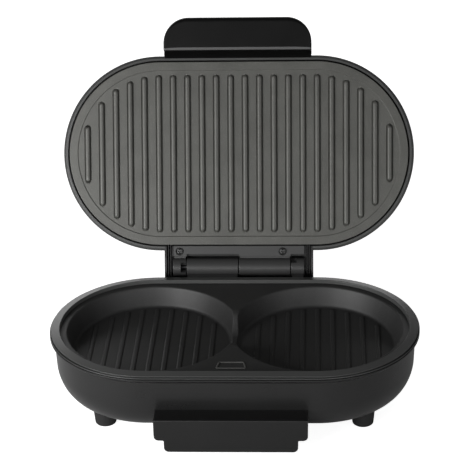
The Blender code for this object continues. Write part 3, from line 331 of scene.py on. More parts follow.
def block(low: tuple, high: tuple, edge: float = 0.0) -> Shape:
    """Makes a box between two corners, its edges rounded where a radius is given."""
    sides = [(low[0], low[1]), (high[0], low[1]), (high[0], high[1]), (low[0], high[1])]
    return slab(rounded([(*side, edge) for side in sides]), Axis.Z, low[2], high[2], edge * END_EDGE)


def sweep(
    section: np.ndarray,
    straight: float = 0.0,
    centre: tuple = (0.0, 0.0),
    steps: int = 96,
    closed: bool = False,
) -> Shape:
    """Carries a (radius, height) section round a stadium, or round a circle where straight is 0.

    A point lies at the centre line's nearest point plus radius times the outward normal, where
    the normal turns evenly round each half circle.

    Args:
        section: Points by two. A line that starts and ends at radius 0 gives a closed solid.
        straight: Half the distance between the half circles' centres.
        centre: The stadium's middle, x and y.
        steps: Facets of each half circle.
        closed: True for a section that closes on itself.

    Returns:
        The closed shape.
    """
    turns = np.linspace(-math.pi / 2, math.pi / 2, steps + 1)
    if straight == 0:
        turns = turns[:-1]
    angles = np.concatenate([turns, turns + math.pi])
    sides = np.repeat([straight, -straight], len(turns))
    radius, height = section[:, 0:1], section[:, 1:2]
    x = centre[0] + sides + radius * np.cos(angles)
    y = centre[1] + radius * np.sin(angles)
    rings = np.stack([x, y, np.broadcast_to(height, x.shape)], axis=-1)
    return ring_grid(rings, closed, caps=False)


def turned(
    section: np.ndarray,
    axis: Axis,
    centre: tuple,
    steps: int = 24,
    closed: bool = False,
) -> Shape:
    """Turns a (radius, place) section round an axis.

    At an angle a, a point lies at centre + radius * (cos a, sin a) across the axis.

    Args:
        section: Points by two.
        axis: The axis's direction.
        centre: Where the axis passes, the other two coordinates in order.
        steps: Facets of half a turn.
        closed: True for a section that closes on itself.

    Returns:
        The closed shape.
    """
    angles = np.linspace(0, math.tau, 2 * steps, endpoint=False)
    u = centre[0] + section[:, 0:1] * np.cos(angles)
    v = centre[1] + section[:, 0:1] * np.sin(angles)
    columns = [u, v]
    columns.insert(axis.value, np.broadcast_to(section[:, 1:2], u.shape))
    return ring_grid(np.stack(columns, axis=-1), closed, caps=False)


def rod(
    radius: float,
    axis: Axis,
    low: float,
    high: float,
    centre: tuple,
    edge: float = 0.0,
    steps: int = 24,
) -> Shape:
    """Makes a round rod with rounded end edges."""
    corners = [(0, low, 0), (radius, low, edge), (radius, high, edge), (0, high, 0)]
    return turned(rounded(corners, 4, closed=False), axis, centre, steps)


def corner_sweep(radius: float, width: float, near: float, far: float, steps: int = 12) -> list[tuple]:
    """Gives the elliptical corner (radius - width + width cos a, near + (far - near) sin a).

    Args:
        radius: Radius where the corner starts.
        width: How far it draws in.
        near: Height where it starts.
        far: Height where it ends.
        steps: Facets.

    Returns:
        Points as (radius, height).
    """
    angles = np.linspace(0, math.pi / 2, steps + 1)
    places = zip(radius - width + width * np.cos(angles), near + (far - near) * np.sin(angles))
    return [(float(r), float(z)) for r, z in places]


def shaped(shape: Shape, *changes: tuple) -> bpy.types.Mesh:
    """Joins helper shapes to a shape or cuts them out of it, one after another.

    Args:
        shape: The starting solid.
        changes: Pairs of a Cut and the helper's Shape.

    Returns:
        The finished mesh.
    """
    piece = linked("blank", shape.mesh("blank"))
    tools = []
    for index, (cut, helper) in enumerate(changes):
        tool = linked("tool", helper.mesh("tool"))
        modifier = piece.modifiers.new(f"cut_{index}", "BOOLEAN")
        modifier.operation = cut.value
        modifier.solver = "MANIFOLD"
        modifier.object = tool
        tools.append(tool)
    graph = bpy.context.evaluated_depsgraph_get()
    mesh = bpy.data.meshes.new_from_object(piece.evaluated_get(graph))
    for obj in [piece, *tools]:
        bpy.data.objects.remove(obj, do_unlink=True)
    return merged(mesh)


class Signal:
    """A socket whose arithmetic adds Math nodes to its tree."""

    def __init__(self, tree: bpy.types.NodeTree, socket: bpy.types.NodeSocket) -> None:
        """Wraps a socket of a tree."""
        self.tree = tree
        self.socket = socket

    def combine(self, operation: str, first: Any, second: Any = 0.0) -> "Signal":
        """Adds one Math node.

        Args:
            operation: Its operation.
            first: A Signal or a number.
            second: A Signal or a number.

        Returns:
            The result.
        """
        math_node = self.tree.nodes.new("ShaderNodeMath")
        math_node.operation = operation
        for slot, value in zip(math_node.inputs, (first, second)):
            if isinstance(value, Signal):
                self.tree.links.new(value.socket, slot)
            else:
                slot.default_value = value
        return Signal(self.tree, math_node.outputs[0])

    def __add__(self, other: Any) -> "Signal":
        """Adds."""
        return self.combine("ADD", self, other)

    def __radd__(self, other: Any) -> "Signal":
        """Adds, the number first."""
        return self.combine("ADD", other, self)

    def __sub__(self, other: Any) -> "Signal":
        """Subtracts."""
        return self.combine("SUBTRACT", self, other)

    def __rsub__(self, other: Any) -> "Signal":
        """Subtracts from a number."""
        return self.combine("SUBTRACT", other, self)

    def __mul__(self, other: Any) -> "Signal":
        """Multiplies."""
        return self.combine("MULTIPLY", self, other)

    def __rmul__(self, other: Any) -> "Signal":
        """Multiplies, the number first."""
        return self.combine("MULTIPLY", other, self)

    def __pow__(self, other: Any) -> "Signal":
        """Raises to a power."""
        return self.combine("POWER", self, other)

    def clamped(self) -> "Signal":
        """Limits the value to between 0 and 1."""
        return self.combine("MINIMUM", self.combine("MAXIMUM", self, 0.0), 1.0)


def scaled(colour: tuple, share: float) -> tuple:
    """Makes a colour lighter or darker by a share."""
    return tuple(value * share for value in colour)


def uneven(level: float, *parts: tuple) -> Signal:
    """Varies a level: level + the sum of (signal - 0.5) * amount, kept between 0 and 1.

    Args:
        level: The level.
        parts: Pairs of a Signal, about 0.5 on average, and its amount.

    Returns:
        The varied level.
    """
    value = level
    for signal, amount in parts:
        value = value + (signal - 0.5) * amount
    return value.clamped()


class Nodes:
    """Adds nodes to a tree."""

    def __init__(self, tree: bpy.types.NodeTree) -> None:
        """Keeps the tree."""
        self.tree = tree

    def node(
        self,
        kind: str,
        settings: dict | None = None,
        ordered: tuple = (),
        **values: Any,
    ) -> dict[str, Signal]:
        """Adds any node.

        Args:
            kind: The node's type.
            settings: Attributes set before its sockets.
            ordered: Values of its first sockets, for sockets that share a name.
            values: Numbers, colours or Signals by socket name, spaces as underscores.

        Returns:
            The outputs by name.
        """
        made = self.tree.nodes.new(kind)
        for name, value in (settings or {}).items():
            setattr(made, name, value)
        for slot, value in zip(made.inputs, ordered):
            self.feed(slot, value)
        slots = {slot.name: slot for slot in made.inputs if slot.enabled}
        for name, value in values.items():
            self.feed(slots[name.replace("_", " ")], value)
        return {out.name: Signal(self.tree, out) for out in made.outputs if out.enabled}

    def feed(self, slot: bpy.types.NodeSocket, value: Any) -> None:
        """Gives a socket its value.

        Args:
            slot: The socket.
            value: A Signal to link, or a number or colour to set.
        """
        if isinstance(value, Signal):
            self.tree.links.new(value.socket, slot)
        else:
            slot.default_value = value

    def blend(self, amount: Any, first: Any, second: Any) -> Signal:
        """Mixes two colours: first * (1 - amount) + second * amount.

        Args:
            amount: A Signal or a number from 0 to 1.
            first: A colour or a Signal.
            second: A colour or a Signal.

        Returns:
            The mixed colour.
        """
        shades = [shade if isinstance(shade, Signal) else (*shade, 1) for shade in (first, second)]
        settings = {"data_type": "RGBA"}
        return self.node("ShaderNodeMix", settings, Factor=amount, A=shades[0], B=shades[1])["Result"]


class Palette(Nodes):
    """Builds one material's nodes round its surface shader."""

    def __init__(self, name: str) -> None:
        """Starts an empty material.

        Args:
            name: The material's name.
        """
        self.material = bpy.data.materials.new(name)
        self.material.use_nodes = True
        super().__init__(self.material.node_tree)
        self.shader = self.tree.nodes["Principled BSDF"]
        self.place = self.node("ShaderNodeTexCoord")["Object"]

    def set(self, **values: Any) -> None:
        """Feeds the surface shader's sockets by name, spaces as underscores."""
        for name, value in values.items():
            self.feed(self.shader.inputs[name.replace("_", " ")], value)

    def noise(
        self,
        size: float,
        detail: float = 2.0,
        roughness: float = 0.5,
        place: Signal | None = None,
    ) -> Signal:
        """Gives soft noise, about 0.5 on average.

        Args:
            size: Its size in metres.
            detail: How many finer layers it has.
            roughness: How strong they are.
            place: Where it is read, the object's own place if not given.

        Returns:
            The noise.
        """
        values = {"Vector": place or self.place, "Scale": 1 / size, "Detail": detail}
        made = self.node("ShaderNodeTexNoise", Roughness=roughness, **values)
        return made["Fac"] if "Fac" in made else made["Factor"]

    def speckle(self, size: float) -> Signal:
        """Gives the distance from the nearest of many scattered points, 0 at a point."""
        return self.node("ShaderNodeTexVoronoi", Vector=self.place, Scale=1 / size)["Distance"]

    def bump(self, height: Signal, depth: float) -> None:
        """Raises the surface's normals by a height signal times a depth in metres."""
        made = self.node("ShaderNodeBump", Height=height, Distance=depth, Strength=1.0)
        self.set(Normal=made["Normal"])


@dataclass(frozen=True)
class Moulding:
    """Moulded plastic or rubber: fine spark-eroded grain, faint clouding and a satin sheen."""

    name: str
    colour: tuple
    roughness: float = 0.4
    specular: float = 0.5
    grain: float = 0.0006
    depth: float = 0.00002
    clouding: float = 0.12
    cloud_size: float = 0.035
    cloud_share: float = 0.7
    cloud_gloss: float = 0.12
    grain_gloss: float = 0.08

    def material(self) -> bpy.types.Material:
        """Builds the material.

        Returns:
            The material.
        """
        palette = Palette(self.name)
        cloud = palette.noise(self.cloud_size, 3.0)
        fine = palette.noise(self.grain, 3.0, 0.6)
        tone = (cloud * self.cloud_share + fine * (1 - self.cloud_share)).clamped()
        dark, light = scaled(self.colour, 1 - self.clouding), scaled(self.colour, 1 + self.clouding)
        gloss = uneven(self.roughness, (cloud, self.cloud_gloss), (fine, self.grain_gloss))
        palette.set(Base_Color=palette.blend(tone, dark, light), Roughness=gloss)
        palette.set(Metallic=0.0, Specular_IOR_Level=self.specular)
        palette.bump(fine, self.depth)
        return palette.material


@dataclass(frozen=True)
class Coating:
    """Sprayed non-stick coating: orange peel, faint mottling and fine mineral flecks."""

    name: str
    colour: tuple
    fleck: tuple
    roughness: float = 0.4
    specular: float = 0.5
    metallic: float = 0.0
    peel: float = 0.0022
    depth: float = 0.00004
    fleck_share: float = 0.35
    fleck_size: float = 0.0016
    fleck_spread: float = 2.4
    grit_size: float = 0.0007
    grit_share: float = 0.5
    grit_gloss: float = 0.1
    mottle_size: float = 0.022
    mottle_gloss: float = 0.14
    shades: tuple = (0.82, 1.16)
    peel_share: float = 0.7

    def material(self) -> bpy.types.Material:
        """Builds the material.

        The ground runs between two shades with the mottling, drawn out by 1.4 x - 0.2, and the
        flecks' colour comes over it near the scattered points and on the grit.

        Returns:
            The material.
        """
        palette = Palette(self.name)
        mottling = palette.noise(self.mottle_size, 4.0, 0.6)
        peel = palette.noise(self.peel, 2.0)
        grit = palette.noise(self.grit_size, 2.0, 0.7)
        dots = (1 - palette.speckle(self.fleck_size) * self.fleck_spread).clamped() ** 2.0
        dark, light = (scaled(self.colour, shade) for shade in self.shades)
        ground = palette.blend((mottling * 1.4 - 0.2).clamped(), dark, light)
        flecks = (dots * self.fleck_share + (grit - 0.5) * self.grit_share).clamped()
        gloss = uneven(self.roughness, (mottling, self.mottle_gloss), (grit, self.grit_gloss))
        palette.set(Base_Color=palette.blend(flecks, ground, self.fleck), Roughness=gloss)
        palette.set(Metallic=self.metallic, Specular_IOR_Level=self.specular)
        palette.bump(peel * self.peel_share + grit * (1 - self.peel_share), self.depth)
        return palette.material


@dataclass(frozen=True)
class Metal:
    """Rolled or turned metal: fine drawn lines, faint clouding and a few dull patches."""

    name: str
    colour: tuple
    roughness: float = 0.32
    metallic: float = 1.0
    stretch: tuple = (1.0, 14.0, 14.0)
    line_size: float = 1 / 220
    line_gloss: float = 0.12
    line_depth: float = 0.00001
    cloud_size: float = 0.012
    cloud_share: float = 0.6
    cloud_gloss: float = 0.2
    dull_shade: float = 0.78

    def material(self) -> bpy.types.Material:
        """Builds the material.

        Returns:
            The material.
        """
        palette = Palette(self.name)
        cloud = palette.noise(self.cloud_size, 3.0)
        stretched = palette.node("ShaderNodeMapping", Vector=palette.place, Scale=self.stretch)["Vector"]
        streak = palette.noise(self.line_size, 3.0, place=stretched)
        tone = (cloud * self.cloud_share + streak * (1 - self.cloud_share)).clamped()
        gloss = uneven(self.roughness, (cloud, self.cloud_gloss), (streak, self.line_gloss))
        palette.set(Base_Color=palette.blend(tone, scaled(self.colour, self.dull_shade), self.colour))
        palette.set(Roughness=gloss, Metallic=self.metallic)
        palette.bump(streak, self.line_depth)
        return palette.material


@dataclass(frozen=True)
class Lens:
    """Tinted clear plastic over a dark lamp: glossy, its tint a little deeper in small soft clouds."""

    name: str
    colour: tuple
    roughness: float = 0.14
    coat: float = 0.6
    cloud_size: float = 0.003
    cloud_gloss: float = 0.08
    deep_shade: float = 0.6

    def material(self) -> bpy.types.Material:
        """Builds the material.

        Returns:
            The material.
        """
        palette = Palette(self.name)
        cloud = palette.noise(self.cloud_size, 2.0)
        palette.set(Base_Color=palette.blend(cloud, scaled(self.colour, self.deep_shade), self.colour))
        palette.set(Roughness=uneven(self.roughness, (cloud, self.cloud_gloss)), Coat_Weight=self.coat)
        return palette.material


HOUSING = Moulding("satin_black_housing", (0.011, 0.011, 0.011), 0.30, specular=0.42)
RIM = Moulding("satin_grey_rim", (0.054, 0.055, 0.054), 0.32)
GRIP = Moulding("matt_black_grip", (0.006, 0.006, 0.006), 0.36, specular=0.42)
LID_GRIP = Moulding("dull_black_grip", (0.003, 0.003, 0.003), 0.36, specular=0.24)
# A lighter grey for the lid grip's ridge: a painted highlight where its lower edge catches the front light.
GRIP_RIDGE_HIGHLIGHT = Moulding("painted_highlight_grip", (0.045, 0.045, 0.045), 0.30)
HINGE = Moulding("satin_hinge", (0.033, 0.033, 0.033), 0.44)
RUBBER = Moulding("matt_rubber", (0.016, 0.016, 0.016), 0.72, specular=0.3)
CERAMIC = Moulding("unglazed_ceramic", (0.70, 0.67, 0.61), 0.62, clouding=0.06)
# Much darker than the lid's coating, partly as painted shade for the pans' up-facing faces, which take little
# light.
PAN_COAT = Coating("dark_non_stick", (0.021, 0.021, 0.021), (0.075, 0.075, 0.071), 0.54)
# A lighter coating for the pad's raised bead: a painted highlight for its outline's shiny edges.
PAD_HIGHLIGHT_COAT = Coating("painted_highlight_non_stick", (0.085, 0.085, 0.082), (0.20, 0.20, 0.19), 0.45)
LID_COAT = Coating("grey_non_stick", (0.082, 0.082, 0.075), (0.22, 0.22, 0.20), 0.42, metallic=0.2)
ZINC = Metal("zinc_pin", (0.05, 0.05, 0.052), 0.50)
DARK_STEEL = Metal("blackened_screw", (0.10, 0.10, 0.10), 0.46, 0.9)
SHEATH = Metal("oxidised_sheath", (0.17, 0.16, 0.15), 0.50, 0.8)
BRIGHT_SHEET = Metal("bright_sheet", (0.62, 0.62, 0.62), 0.28)
PLATED = Metal("plated_can", (0.50, 0.50, 0.52), 0.34)
RED_LENS = Lens("red_lens", (0.40, 0.02, 0.015))
GREEN_LENS = Lens("green_lens", (0.02, 0.28, 0.05))


class Wardrobe:
    """Keeps one material of each finish, made when first asked for."""

    def __init__(self) -> None:
        """Starts with no material."""
        self.made: dict[str, bpy.types.Material] = {}

    def of(self, finish: Any) -> bpy.types.Material:
        """Gives a finish's material.

        Args:
            finish: The finish.

        Returns:
            Its material.
        """
        if finish.name not in self.made:
            self.made[finish.name] = finish.material()
        return self.made[finish.name]


@dataclass
class Outline:
    """The sizes that both halves share, in metres."""

    radius: float = 0.0866
    straight: float = 0.0694
    wall_inset: float = 0.0036
    wall: float = 0.0022
    draft: float = 0.0007
    rim_overlap: float = 0.0008
    hinge_back: float = 0.1013
    hinge_lift: float = 0.0020
    barrel: float = 0.0080
    pin: float = 0.0024
    knuckle_long: float = 0.0465
    knuckle_short: float = 0.0120
    knuckle_gap: float = 0.0006
    shelf_top: float = -0.0131
    lid_gap: float = 0.0008
    open_angle: float = math.radians(112.3)
    base_screws: tuple = ((-0.0527, 0.0901), (0.02325, 0.0901))
    lid_screws: tuple = ((-0.0527, 0.0873), (0.0394, 0.0873))
    screw_hole: float = 0.0018

    @property
    def wall_radius(self) -> float:
        """Radius of the housings' walls outside."""
        return self.radius - self.wall_inset

    @property
    def inner_radius(self) -> float:
        """Radius of the housings' walls inside."""
        return self.wall_radius - self.wall

    @property
    def rim_inner(self) -> float:
        """Radius of the bezel ring inside, a little short of the housings' walls."""
        return self.inner_radius - self.rim_overlap

    @property
    def bracket_half(self) -> float:
        """Half the length of the hinge's brackets."""
        return self.knuckle_long + self.knuckle_short


class Fitter:
    """Puts finished meshes in their real place, dresses them and reports each."""

    def __init__(self, outline: Outline, wardrobe: Wardrobe) -> None:
        """Works out both bodies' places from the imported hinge."""
        self.wardrobe = wardrobe
        joint = frame["record"]["behaviour"]["joints"][0]["pos_m"]
        shift = Vector((0, joint[1] - outline.hinge_back, joint[2] - outline.hinge_lift))
        hinge = Vector((0, outline.hinge_back, outline.hinge_lift))
        base = Matrix.Translation(shift)
        turn = Matrix.Rotation(-outline.open_angle, 4, "X")
        lid = base @ Matrix.Translation(hinge) @ turn @ Matrix.Translation(-hinge)
        self.places = {Body.BASE: base, Body.LID: lid}

    def fit(
        self,
        name: str,
        made: Shape | bpy.types.Mesh,
        body: Body,
        slot: str,
        finish: Any,
        *nodes: str,
    ) -> bpy.types.Object:
        """Makes a piece of the object from a shape.

        Args:
            name: The piece's name.
            made: Its shape or mesh in the working frame.
            body: The body it rides on.
            slot: The record's material slot; not used.
            finish: Its finish.
            nodes: The CAD nodes that it stands for.

        Returns:
            The object.
        """
        mesh = made.mesh(name) if isinstance(made, Shape) else made
        mesh.name = name
        mesh.transform(self.places[body])
        mesh.shade_smooth()
        mesh.set_sharp_from_angle(angle=SHARP_ANGLE)
        mesh.materials.clear()
        mesh.materials.append(self.wardrobe.of(finish))
        obj = linked(name, mesh)
        weighted = obj.modifiers.new("even_shading", "WEIGHTED_NORMAL")
        weighted.keep_sharp = True
        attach(obj, body.value)
        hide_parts(*nodes)
        self.report(name, mesh, nodes)
        return obj

    def accent(self, obj: bpy.types.Object, body: Body, finish: Any, chosen: Callable) -> None:
        """Gives some faces of a piece a second finish.

        Args:
            obj: The piece.
            body: The body it rides on.
            finish: The second finish.
            chosen: Tells, from the faces' middles in the working frame, which faces take it.
        """
        faces = obj.data.polygons
        middles = np.empty(len(faces) * 3)
        faces.foreach_get("center", middles)
        back = np.array(self.places[body].inverted())
        middles = middles.reshape(-1, 3) @ back[:3, :3].T + back[:3, 3]
        obj.data.materials.append(self.wardrobe.of(finish))
        faces.foreach_set("material_index", chosen(middles).astype(np.int32))

    def report(self, name: str, mesh: bpy.types.Mesh, nodes: tuple) -> None:
        """Logs a piece's triangles and how far its box is from its CAD nodes'.

        Args:
            name: The piece's name.
            mesh: Its mesh.
            nodes: The CAD nodes that it stands for.
        """
        triangles = sum(len(face.vertices) - 2 for face in mesh.polygons)
        points = np.empty(len(mesh.vertices) * 3)
        mesh.vertices.foreach_get("co", points)
        points = points.reshape(-1, 3)
        box = np.concatenate([points.min(axis=0), points.max(axis=0)])
        boxes = [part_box(node) for node in nodes]
        low = np.min([tuple(low) for low, _ in boxes], axis=0)
        high = np.max([tuple(high) for _, high in boxes], axis=0)
        off = np.abs(box - np.concatenate([low, high])).max() * 1000
        log.info("%s: %d triangles, box within %.2f mm of its node", name, triangles, off)

    def dress(self, finish: Any, *nodes: str) -> None:
        """Gives CAD nodes that stay a finish.

        Args:
            finish: The finish.
            nodes: The nodes.
        """
        for node in nodes:
            obj = frame["nodes"][node]
            obj.data.materials.clear()
            obj.data.materials.append(self.wardrobe.of(finish))
            log.info("%s: kept as packed", node)


@dataclass
class RibPattern:
    """Straight ribs from front to back on a pitch, ending on a stadium."""

    centre: float
    straight: float
    end_radius: float
    margin: float
    width: float
    height: float
    groove: float = 0.0
    pitch: float = 0.0128

    @property
    def shares(self) -> np.ndarray:
        """Gives the columns' distances from a rib's middle.

        Returns:
            The distances as shares of half the rib's width.
        """
        foot = [1.0, 1.07, 1.15, 1.23, 1.30] if self.groove else [1.0, 1.12]
        half = np.array([0, 0.3, 0.55, 0.75, 0.88, 0.96, *foot])
        return np.concatenate([-half[:0:-1], half])

    def axes(self) -> np.ndarray:
        """Gives the ribs' places across.

        Returns:
            The places, half a pitch and then whole pitches from the middle plane.
        """
        reach = abs(self.centre) + self.straight + self.end_radius
        count = math.floor(reach / self.pitch + 0.5)
        places = (np.arange(-count, count) + 0.5) * self.pitch
        past = np.maximum(np.abs(places - self.centre) - self.straight, 0)
        return places[past <= self.end_radius - self.margin]

    def rise(self, x: np.ndarray, y: np.ndarray) -> np.ndarray:
        """Gives the ribs' height over the field.

        With d the distance from the rib's middle line, which stops half a width short of its
        end, and s = d over half the width, the height is 1 up to s = 0.3 and from there
        the quarter ellipse sqrt(1 - ((s - 0.3) / 0.7) ** 2). A groove may run round its foot,
        as deep as 1 - |s - 1.15| / 0.15 of its own depth.

        Args:
            x: Places across.
            y: Places in depth.

        Returns:
            The heights in metres.
        """
        axes = self.axes()
        nearest = axes[np.abs(x[..., None] - axes).argmin(axis=-1)]
        past = np.maximum(np.abs(nearest - self.centre) - self.straight, 0)
        length = np.sqrt(self.end_radius**2 - past**2) - self.width / 2
        distance = np.hypot(x - nearest, np.maximum(np.abs(y) - length, 0))
        share = distance / (self.width / 2)
        fall = np.clip((share - 0.3) / 0.7, 0, 1)
        sunk = np.clip(1 - np.abs(share - 1.15) / 0.15, 0, None)
        return self.height * np.sqrt(1 - fall**2) - self.groove * sunk


@dataclass
class Field:
    """A ribbed field with a round or stadium edge, as columns of points along its ribs."""

    centre: float
    straight: float
    radius: float
    ribs: RibPattern
    must: tuple = ()
    rows: int = 96
    arc_steps: int = 90

    def columns(self) -> np.ndarray:
        """Gives the columns' places across.

        Each rib has columns at set shares of its half width. Between them the edge's half
        circles add one for each even angle, and the straights add even ones, apart from those
        that lie too close to a rib's.

        Returns:
            The places in order.
        """
        ribs = (self.ribs.axes()[:, None] + self.ribs.shares * self.ribs.width / 2).ravel()
        ribs = ribs[np.abs(ribs - self.centre) < self.straight + self.radius * 0.998]
        angles = np.linspace(0, math.pi / 2, self.arc_steps // 2 + 1)
        half = self.straight + self.radius * np.cos(angles)
        middle = np.linspace(-self.straight, self.straight, 2 + int(self.straight / 0.0012))
        rest = self.centre + np.concatenate([half, -half, middle])
        rest = rest[np.abs(rest[:, None] - ribs).min(axis=1) > 0.0004]
        ends = self.centre + np.array([-1, 1]) * (self.straight + self.radius)
        return np.unique(np.round(np.concatenate([ribs, rest, ends, self.must]), 7))

    def half_depth(self, x: np.ndarray) -> np.ndarray:
        """Gives half the field's depth, sqrt(radius ** 2 - past ** 2), past the straight."""
        past = np.maximum(np.abs(x - self.centre) - self.straight, 0)
        return np.sqrt(np.maximum(self.radius**2 - past**2, 0))

    def floor(self, height: float, side: int) -> Shape:
        """Works out the field itself.

        Row v of each column lies at y = half depth * (v / 2 + sin(pi v / 2) / 2), v from -1
        to 1, and its height is the field's plus the ribs' rise. The first and last row have no
        rise, so that they meet what is outside them.

        Args:
            height: The field's height.
            side: 1 for ribs that stand up, -1 for ribs that hang.

        Returns:
            The open sheet.
        """
        x = self.columns()
        v = np.linspace(-1, 1, self.rows)
        share = v / 2 + np.sin(math.pi / 2 * v) / 2
        y = share[:, None] * self.half_depth(x)
        x = np.broadcast_to(x, y.shape)
        rise = self.ribs.rise(x, y)
        rise[[0, -1]] = 0
        return sheet(np.stack([x, y], axis=-1), height + side * rise, closed=False)

    def edge(self) -> tuple[np.ndarray, np.ndarray]:
        """Gives the field's edge as a ring that starts at its left end.

        Returns:
            The nearest points of the middle line, and the outward normals.
        """
        x = self.columns()
        y = self.half_depth(x)
        ring = np.concatenate([np.stack([x, -y], 1), np.stack([x, y], 1)[-2:0:-1]])
        along = np.clip(ring[:, 0] - self.centre, -self.straight, self.straight)
        foot = np.stack([self.centre + along, 0 * along], 1)
        return foot, (ring - foot) / self.radius


@dataclass
class Rays:
    """Level rays from a pan's centre, which end on the step or on the middle plane."""

    foot: np.ndarray
    normals: np.ndarray
    reach: np.ndarray
    outer: np.ndarray

    def at(self, radii: np.ndarray) -> np.ndarray:
        """Works out rings of points foot + radius * normal.

        The last ring's x is zero where a ray ends on the middle plane.

        Args:
            radii: A radius for each ring and ray.

        Returns:
            Rings by points by two.
        """
        flat = self.foot + radii[..., None] * self.normals
        flat[-1, :, 0] = np.where(self.outer, flat[-1, :, 0], 0.0)
        return flat


@dataclass
class LowerPlate:
    """The cast lower plate: two ribbed pans, the low web between them and the front pad."""

    outline: Outline
    fitter: Fitter
    plateau: float = -0.0027
    flange: float = -0.0034
    thickness: float = 0.0024
    step_radius: float = 0.0797
    flange_radius: float = 0.0805
    pan_floor: float = 0.0665
    pan_top: float = 0.0721
    pan_depth: float = 0.0170
    lip_round: float = 0.0018
    floor_round: float = 0.0030
    field_radius: float = 0.0641
    rib_end: float = 0.0620
    rib_width: float = 0.0044
    rib_height: float = 0.0009
    web_half: float = 0.0285
    web_flat: float = 0.0090
    web_dip: float = 0.0145
    web_reach: float = 0.0110
    web_soft: float = 0.0018
    pad_back: float = 0.0580
    pad_front: float = 0.0690
    pad_back_width: float = 0.0210
    pad_front_width: float = 0.0255
    pad_corner: float = 0.0016
    pad_bead: float = 0.0012  # Less than pad_corner, or the corners of the sunk middle collapse.
    pad_rise: float = 0.0006
    pad_round: float = 0.8
    web_slope: float = 0.8
    lip_reach: float = 0.0753
    lip_most: float = 0.94
    cup_gap: float = 0.0028

    def pan_line(self) -> np.ndarray:
        """Gives the pan's floor, wall and lip.

        Returns:
            Points as (radius, height).
        """
        low = self.plateau - self.pan_depth
        line = [
            (0, low, 0),
            (self.pan_floor, low, self.floor_round),
            (self.pan_top, self.plateau, self.lip_round),
            (self.outline.radius * 2, self.plateau, 0),
        ]
        return rounded(line, 12, closed=False)

    def crest(self, y: np.ndarray) -> np.ndarray:
        """Gives the web's crest.

        It lies a dip below the plateau on its flat middle and rises to the plateau by the smooth
        step s * s * (3 - 2 s), then goes on rising so that it ends softly in the plateau.

        Args:
            y: Places in depth.

        Returns:
            The heights there.
        """
        share = np.clip((np.abs(y) - self.web_flat) / (self.web_half - self.web_flat), 0, 1)
        fall = 1 - share**2 * (3 - 2 * share)
        past = np.maximum(np.abs(y) - self.web_half, 0)
        return self.plateau - self.web_dip * fall + past * self.web_slope

    def top(self, x: np.ndarray, y: np.ndarray) -> np.ndarray:
        """Gives the plate's top face outside the ribbed floors.

        It is the lower of the pan's line and the web's crest near the middle. Where they differ
        by less than web_soft = k they blend: min(a, b) - k / 4 * (1 - |a - b| / k) ** 2.

        Args:
            x: Places across.
            y: Places in depth.

        Returns:
            The heights there.
        """
        line = self.pan_line()
        pan = np.interp(np.hypot(x - self.outline.straight, y), line[:, 0], line[:, 1])
        web = np.where(x < self.web_reach, self.crest(y), math.inf)
        near = np.clip(1 - np.abs(pan - web) / self.web_soft, 0, None)
        return np.minimum(pan, web) - self.web_soft / 4 * near**2

    def half(self) -> Shape:
        """Works out the right half, closed apart from the plane between the halves.

        Rays leave the pan's centre, which is also the centre of the outline's end, and end on
        the step below the rim or on the middle plane.

        Returns:
            The shape.
        """
        centre = self.outline.straight
        corner = -self.field_radius * centre / math.hypot(centre, self.step_radius)
        pattern = RibPattern(centre, 0.0, self.rib_end, self.rib_width, self.rib_width, self.rib_height)
        field_part = Field(centre, 0.0, self.field_radius, pattern, (centre + corner,), 90, 120)
        shape = field_part.floor(self.plateau - self.pan_depth, 1)
        foot, normals = field_part.edge()
        across, deep = normals[:, 0], np.abs(normals[:, 1])
        to_middle = centre / np.maximum(-across, TINY)
        to_side = self.step_radius / np.maximum(deep, TINY)
        reach = np.where(across >= 0, self.step_radius, np.minimum(to_middle, to_side))
        outer = (across >= 0) | (to_side <= to_middle + 1e-7)
        rays = Rays(foot, normals, reach, outer)
        width = reach - self.field_radius
        lip_share = np.minimum((self.lip_reach - self.field_radius) / width, self.lip_most)
        first = np.linspace(0, 1, 34)[:, None] * lip_share
        second = lip_share + np.linspace(0, 1, 11)[1:, None] * (1 - lip_share)
        flat = rays.at(self.field_radius + np.vstack([first, second]) * width)
        heights = self.top(flat[..., 0], flat[..., 1])
        heights[-1] = np.where(outer, self.plateau, heights[-1])
        shape += sheet(flat, heights)
        shape += self.skirt(flat[-1][outer])
        return shape + self.underside(rays)

    def skirt(self, edge: np.ndarray) -> Shape:
        """Works out the step, the flange and its edge.

        Args:
            edge: The step's edge, points by two.

        Returns:
            The sheet.
        """
        foot = np.stack([np.clip(edge[:, 0], 0, self.outline.straight), 0 * edge[:, 0]], 1)
        low = self.flange - self.thickness
        section = np.array([
            (self.step_radius, self.plateau),
            (self.step_radius, self.flange),
            (self.flange_radius, self.flange),
            (self.flange_radius, low),
            (self.step_radius, low),
        ])
        return carried(foot, (edge - foot) / self.step_radius, section, closed=False)

    def underside(self, rays: Rays) -> Shape:
        """Works out the underside as a cup a little outside the pan.

        Args:
            rays: The rays of the top face.

        Returns:
            The sheet.
        """
        low = self.plateau - self.pan_depth - self.thickness
        high = self.flange - self.thickness
        rest = self.field_radius + np.linspace(0, 1, 16)[:, None] * (rays.reach - self.field_radius)
        radii = np.vstack([0 * rays.reach, rest])
        heights = np.interp(radii, [self.pan_floor + self.cup_gap, self.pan_top + self.cup_gap], [low, high])
        heights[-1] = np.where(rays.outer, high, heights[-1])
        return sheet(rays.at(radii), heights)

